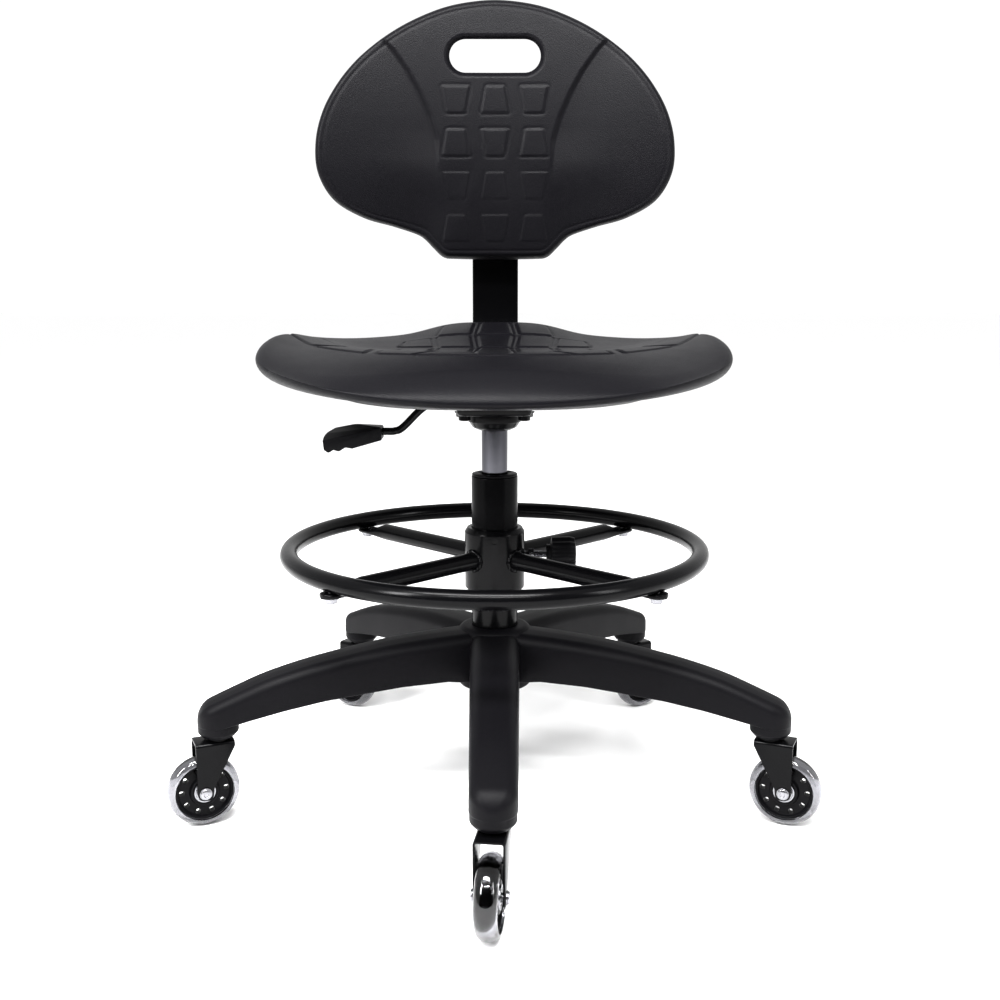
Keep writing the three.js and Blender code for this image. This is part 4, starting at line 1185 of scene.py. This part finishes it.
def back_relief(x, z):
    """How far the front stands out: a proud middle between two creases, scooped wings and the pads."""
    crease = np.interp(z, [640, 721, 748, 777, 800, 822, 850], [60, 66, 74, 87, 100, 116, 143])
    beyond = np.abs(x) - crease
    strength = smoothstep(z, 665, 735) * (1 - smoothstep(z, 828, 850))
    scoop = 3.6 * smoothstep(beyond, -1, 4.5) * np.exp(-(np.maximum(beyond, 0) / 60) ** 2)
    lower = 4 * smoothstep(beyond, -10, 40) * smoothstep(-z, -700, -640)
    lower *= np.exp(-(np.maximum(beyond, 0) / 80) ** 2)
    pads = pad_relief(pad_field(x, z, back_pads((0, 1)), 2.0), 0.4, 0.9)
    pads += pad_relief(pad_field(x, z, back_pads((2, 3)), 2.0), 0.1, 0.45)
    return pads - strength * scoop - lower


def backrest_foam():
    angle, level, faces, rim = round_grid(BACK_GRID)
    ox, oz = back_reach(angle)
    reach = np.hypot(ox, oz)
    turn, inner, scale = rolled_edge(level, BACK_GRID, BACK_ROLL, 7.5, reach)
    x, z = ox * scale, BACK_CENTRE_Z + oz * scale
    bulge = 31 + 9 * (1 - inner ** 2) ** 0.9
    depth = mix(15, bulge, np.sin(turn))
    relief = back_relief(x, z) * np.sin(turn) ** 4
    slot = handle_distance(x, z)
    rim_dip = 4.5 * (1 - smoothstep(slot, 0, 4)) + 1.2 * (1 - smoothstep(slot, 4, 6))
    rim_line = 0.6 * np.exp(-((((1 - scale) * reach - 10) / 1.3) ** 2))
    y = back_face(x, z) - depth - relief + rim_dip + rim_line
    points = np.column_stack([x, y, z])

    rings = []
    ox, oz, reach = ox[rim], oz[rim], reach[rim]
    for b in np.linspace(0, math.pi / 2, 11)[1:]:
        inset = 9 * (1 - math.cos(b))
        parting = 0.8 * math.exp(-((15 * (1 - math.sin(b)) - 11) / 1.1) ** 2)
        scale = 1 - (inset + parting) / reach
        x, z = ox * scale, BACK_CENTRE_Z + oz * scale
        rings.append(np.column_stack([x, back_face(x, z) - 15 + 15 * math.sin(b), z]))
    for share in np.linspace(0.93, 0.05, 24):
        x, z = ox * share, BACK_CENTRE_Z + oz * share
        dip = 4 * (1 - smoothstep(handle_distance(x, z), 3, 9))
        rings.append(np.column_stack([x, back_face(x, z) - dip, z]))
    points, faces = closed_below(points, faces, rim, rings)
    obj = as_object("backrest_foam_look", (points, faces))
    combined(obj, "DIFFERENCE", loft([handle_ring(y) for y in (100, 300)]))
    finished(obj, "polyurethane", "backrest", ["backrest_foam"], crease=50)


seat_mechanism()
lever()
back_bar()
back_bracket()
seat_foam()
backrest_foam()

# -------- camera, floor and light

def set_up_camera():
    data = bpy.data.cameras.new("camera")
    data.sensor_width = 36
    data.lens = CAMERA_FOCAL
    data.clip_end = 50
    camera = bpy.data.objects.new("camera", data)
    bpy.context.scene.collection.objects.link(camera)
    camera.location = Vector(CAMERA) / 1000 + AXIS
    camera.rotation_euler = (math.radians(90 - CAMERA_PITCH), 0, 0)
    bpy.context.scene.camera = camera


def set_up_floor():
    bpy.ops.mesh.primitive_plane_add(size=60, location=(0, 0, -0.0005))
    floor = bpy.context.object
    floor.name = "floor"
    material, shader = new_material("floor", (0.95, 0.95, 0.95), 0.9)
    shader.inputs["Specular IOR Level"].default_value = 0.1
    floor.data.materials.append(material)


def area_light(name, place, aim, size, power):
    data = bpy.data.lights.new(name, "AREA")
    data.shape = "RECTANGLE"
    data.size, data.size_y = size
    data.energy = power
    light = bpy.data.objects.new(name, data)
    bpy.context.scene.collection.objects.link(light)
    light.location = place
    light.rotation_euler = (Vector(aim) - Vector(place)).to_track_quat("-Z", "Y").to_euler()


def set_up_dark_wall():
    """A dark wall that only reflections see, so that the black chair mirrors less of the bright room."""
    bpy.ops.mesh.primitive_plane_add(size=1, location=(0, -3.4, 2.4), rotation=(math.radians(90), 0, 0))
    wall = bpy.context.object
    wall.name = "dark_wall"
    wall.scale = (9, 5, 1)
    wall.visible_camera = False
    material, _ = new_material("dark_wall", (0.02, 0.02, 0.02), 0.9)
    wall.data.materials.append(material)


def set_up_light():
    world = bpy.data.worlds.new("world")
    bpy.context.scene.world = world
    world.use_nodes = True
    background = world.node_tree.nodes["Background"]
    background.inputs["Color"].default_value = (1, 1, 1, 1)
    background.inputs["Strength"].default_value = 1.05
    bpy.context.scene.view_settings.view_transform = "Standard"
    bpy.context.scene.view_settings.gamma = 0.86
    for light in LIGHTS:
        area_light(*light)


set_up_camera()
set_up_floor()
set_up_dark_wall()
set_up_light()

slots = {row["node"]: row["material_slot"] for row in frame["record"]["subparts"]}
for name, cad in frame["nodes"].items():
    if not cad.hide_render:
        cad.data.materials.clear()
        cad.data.materials.append(MATERIALS[slots[name]])
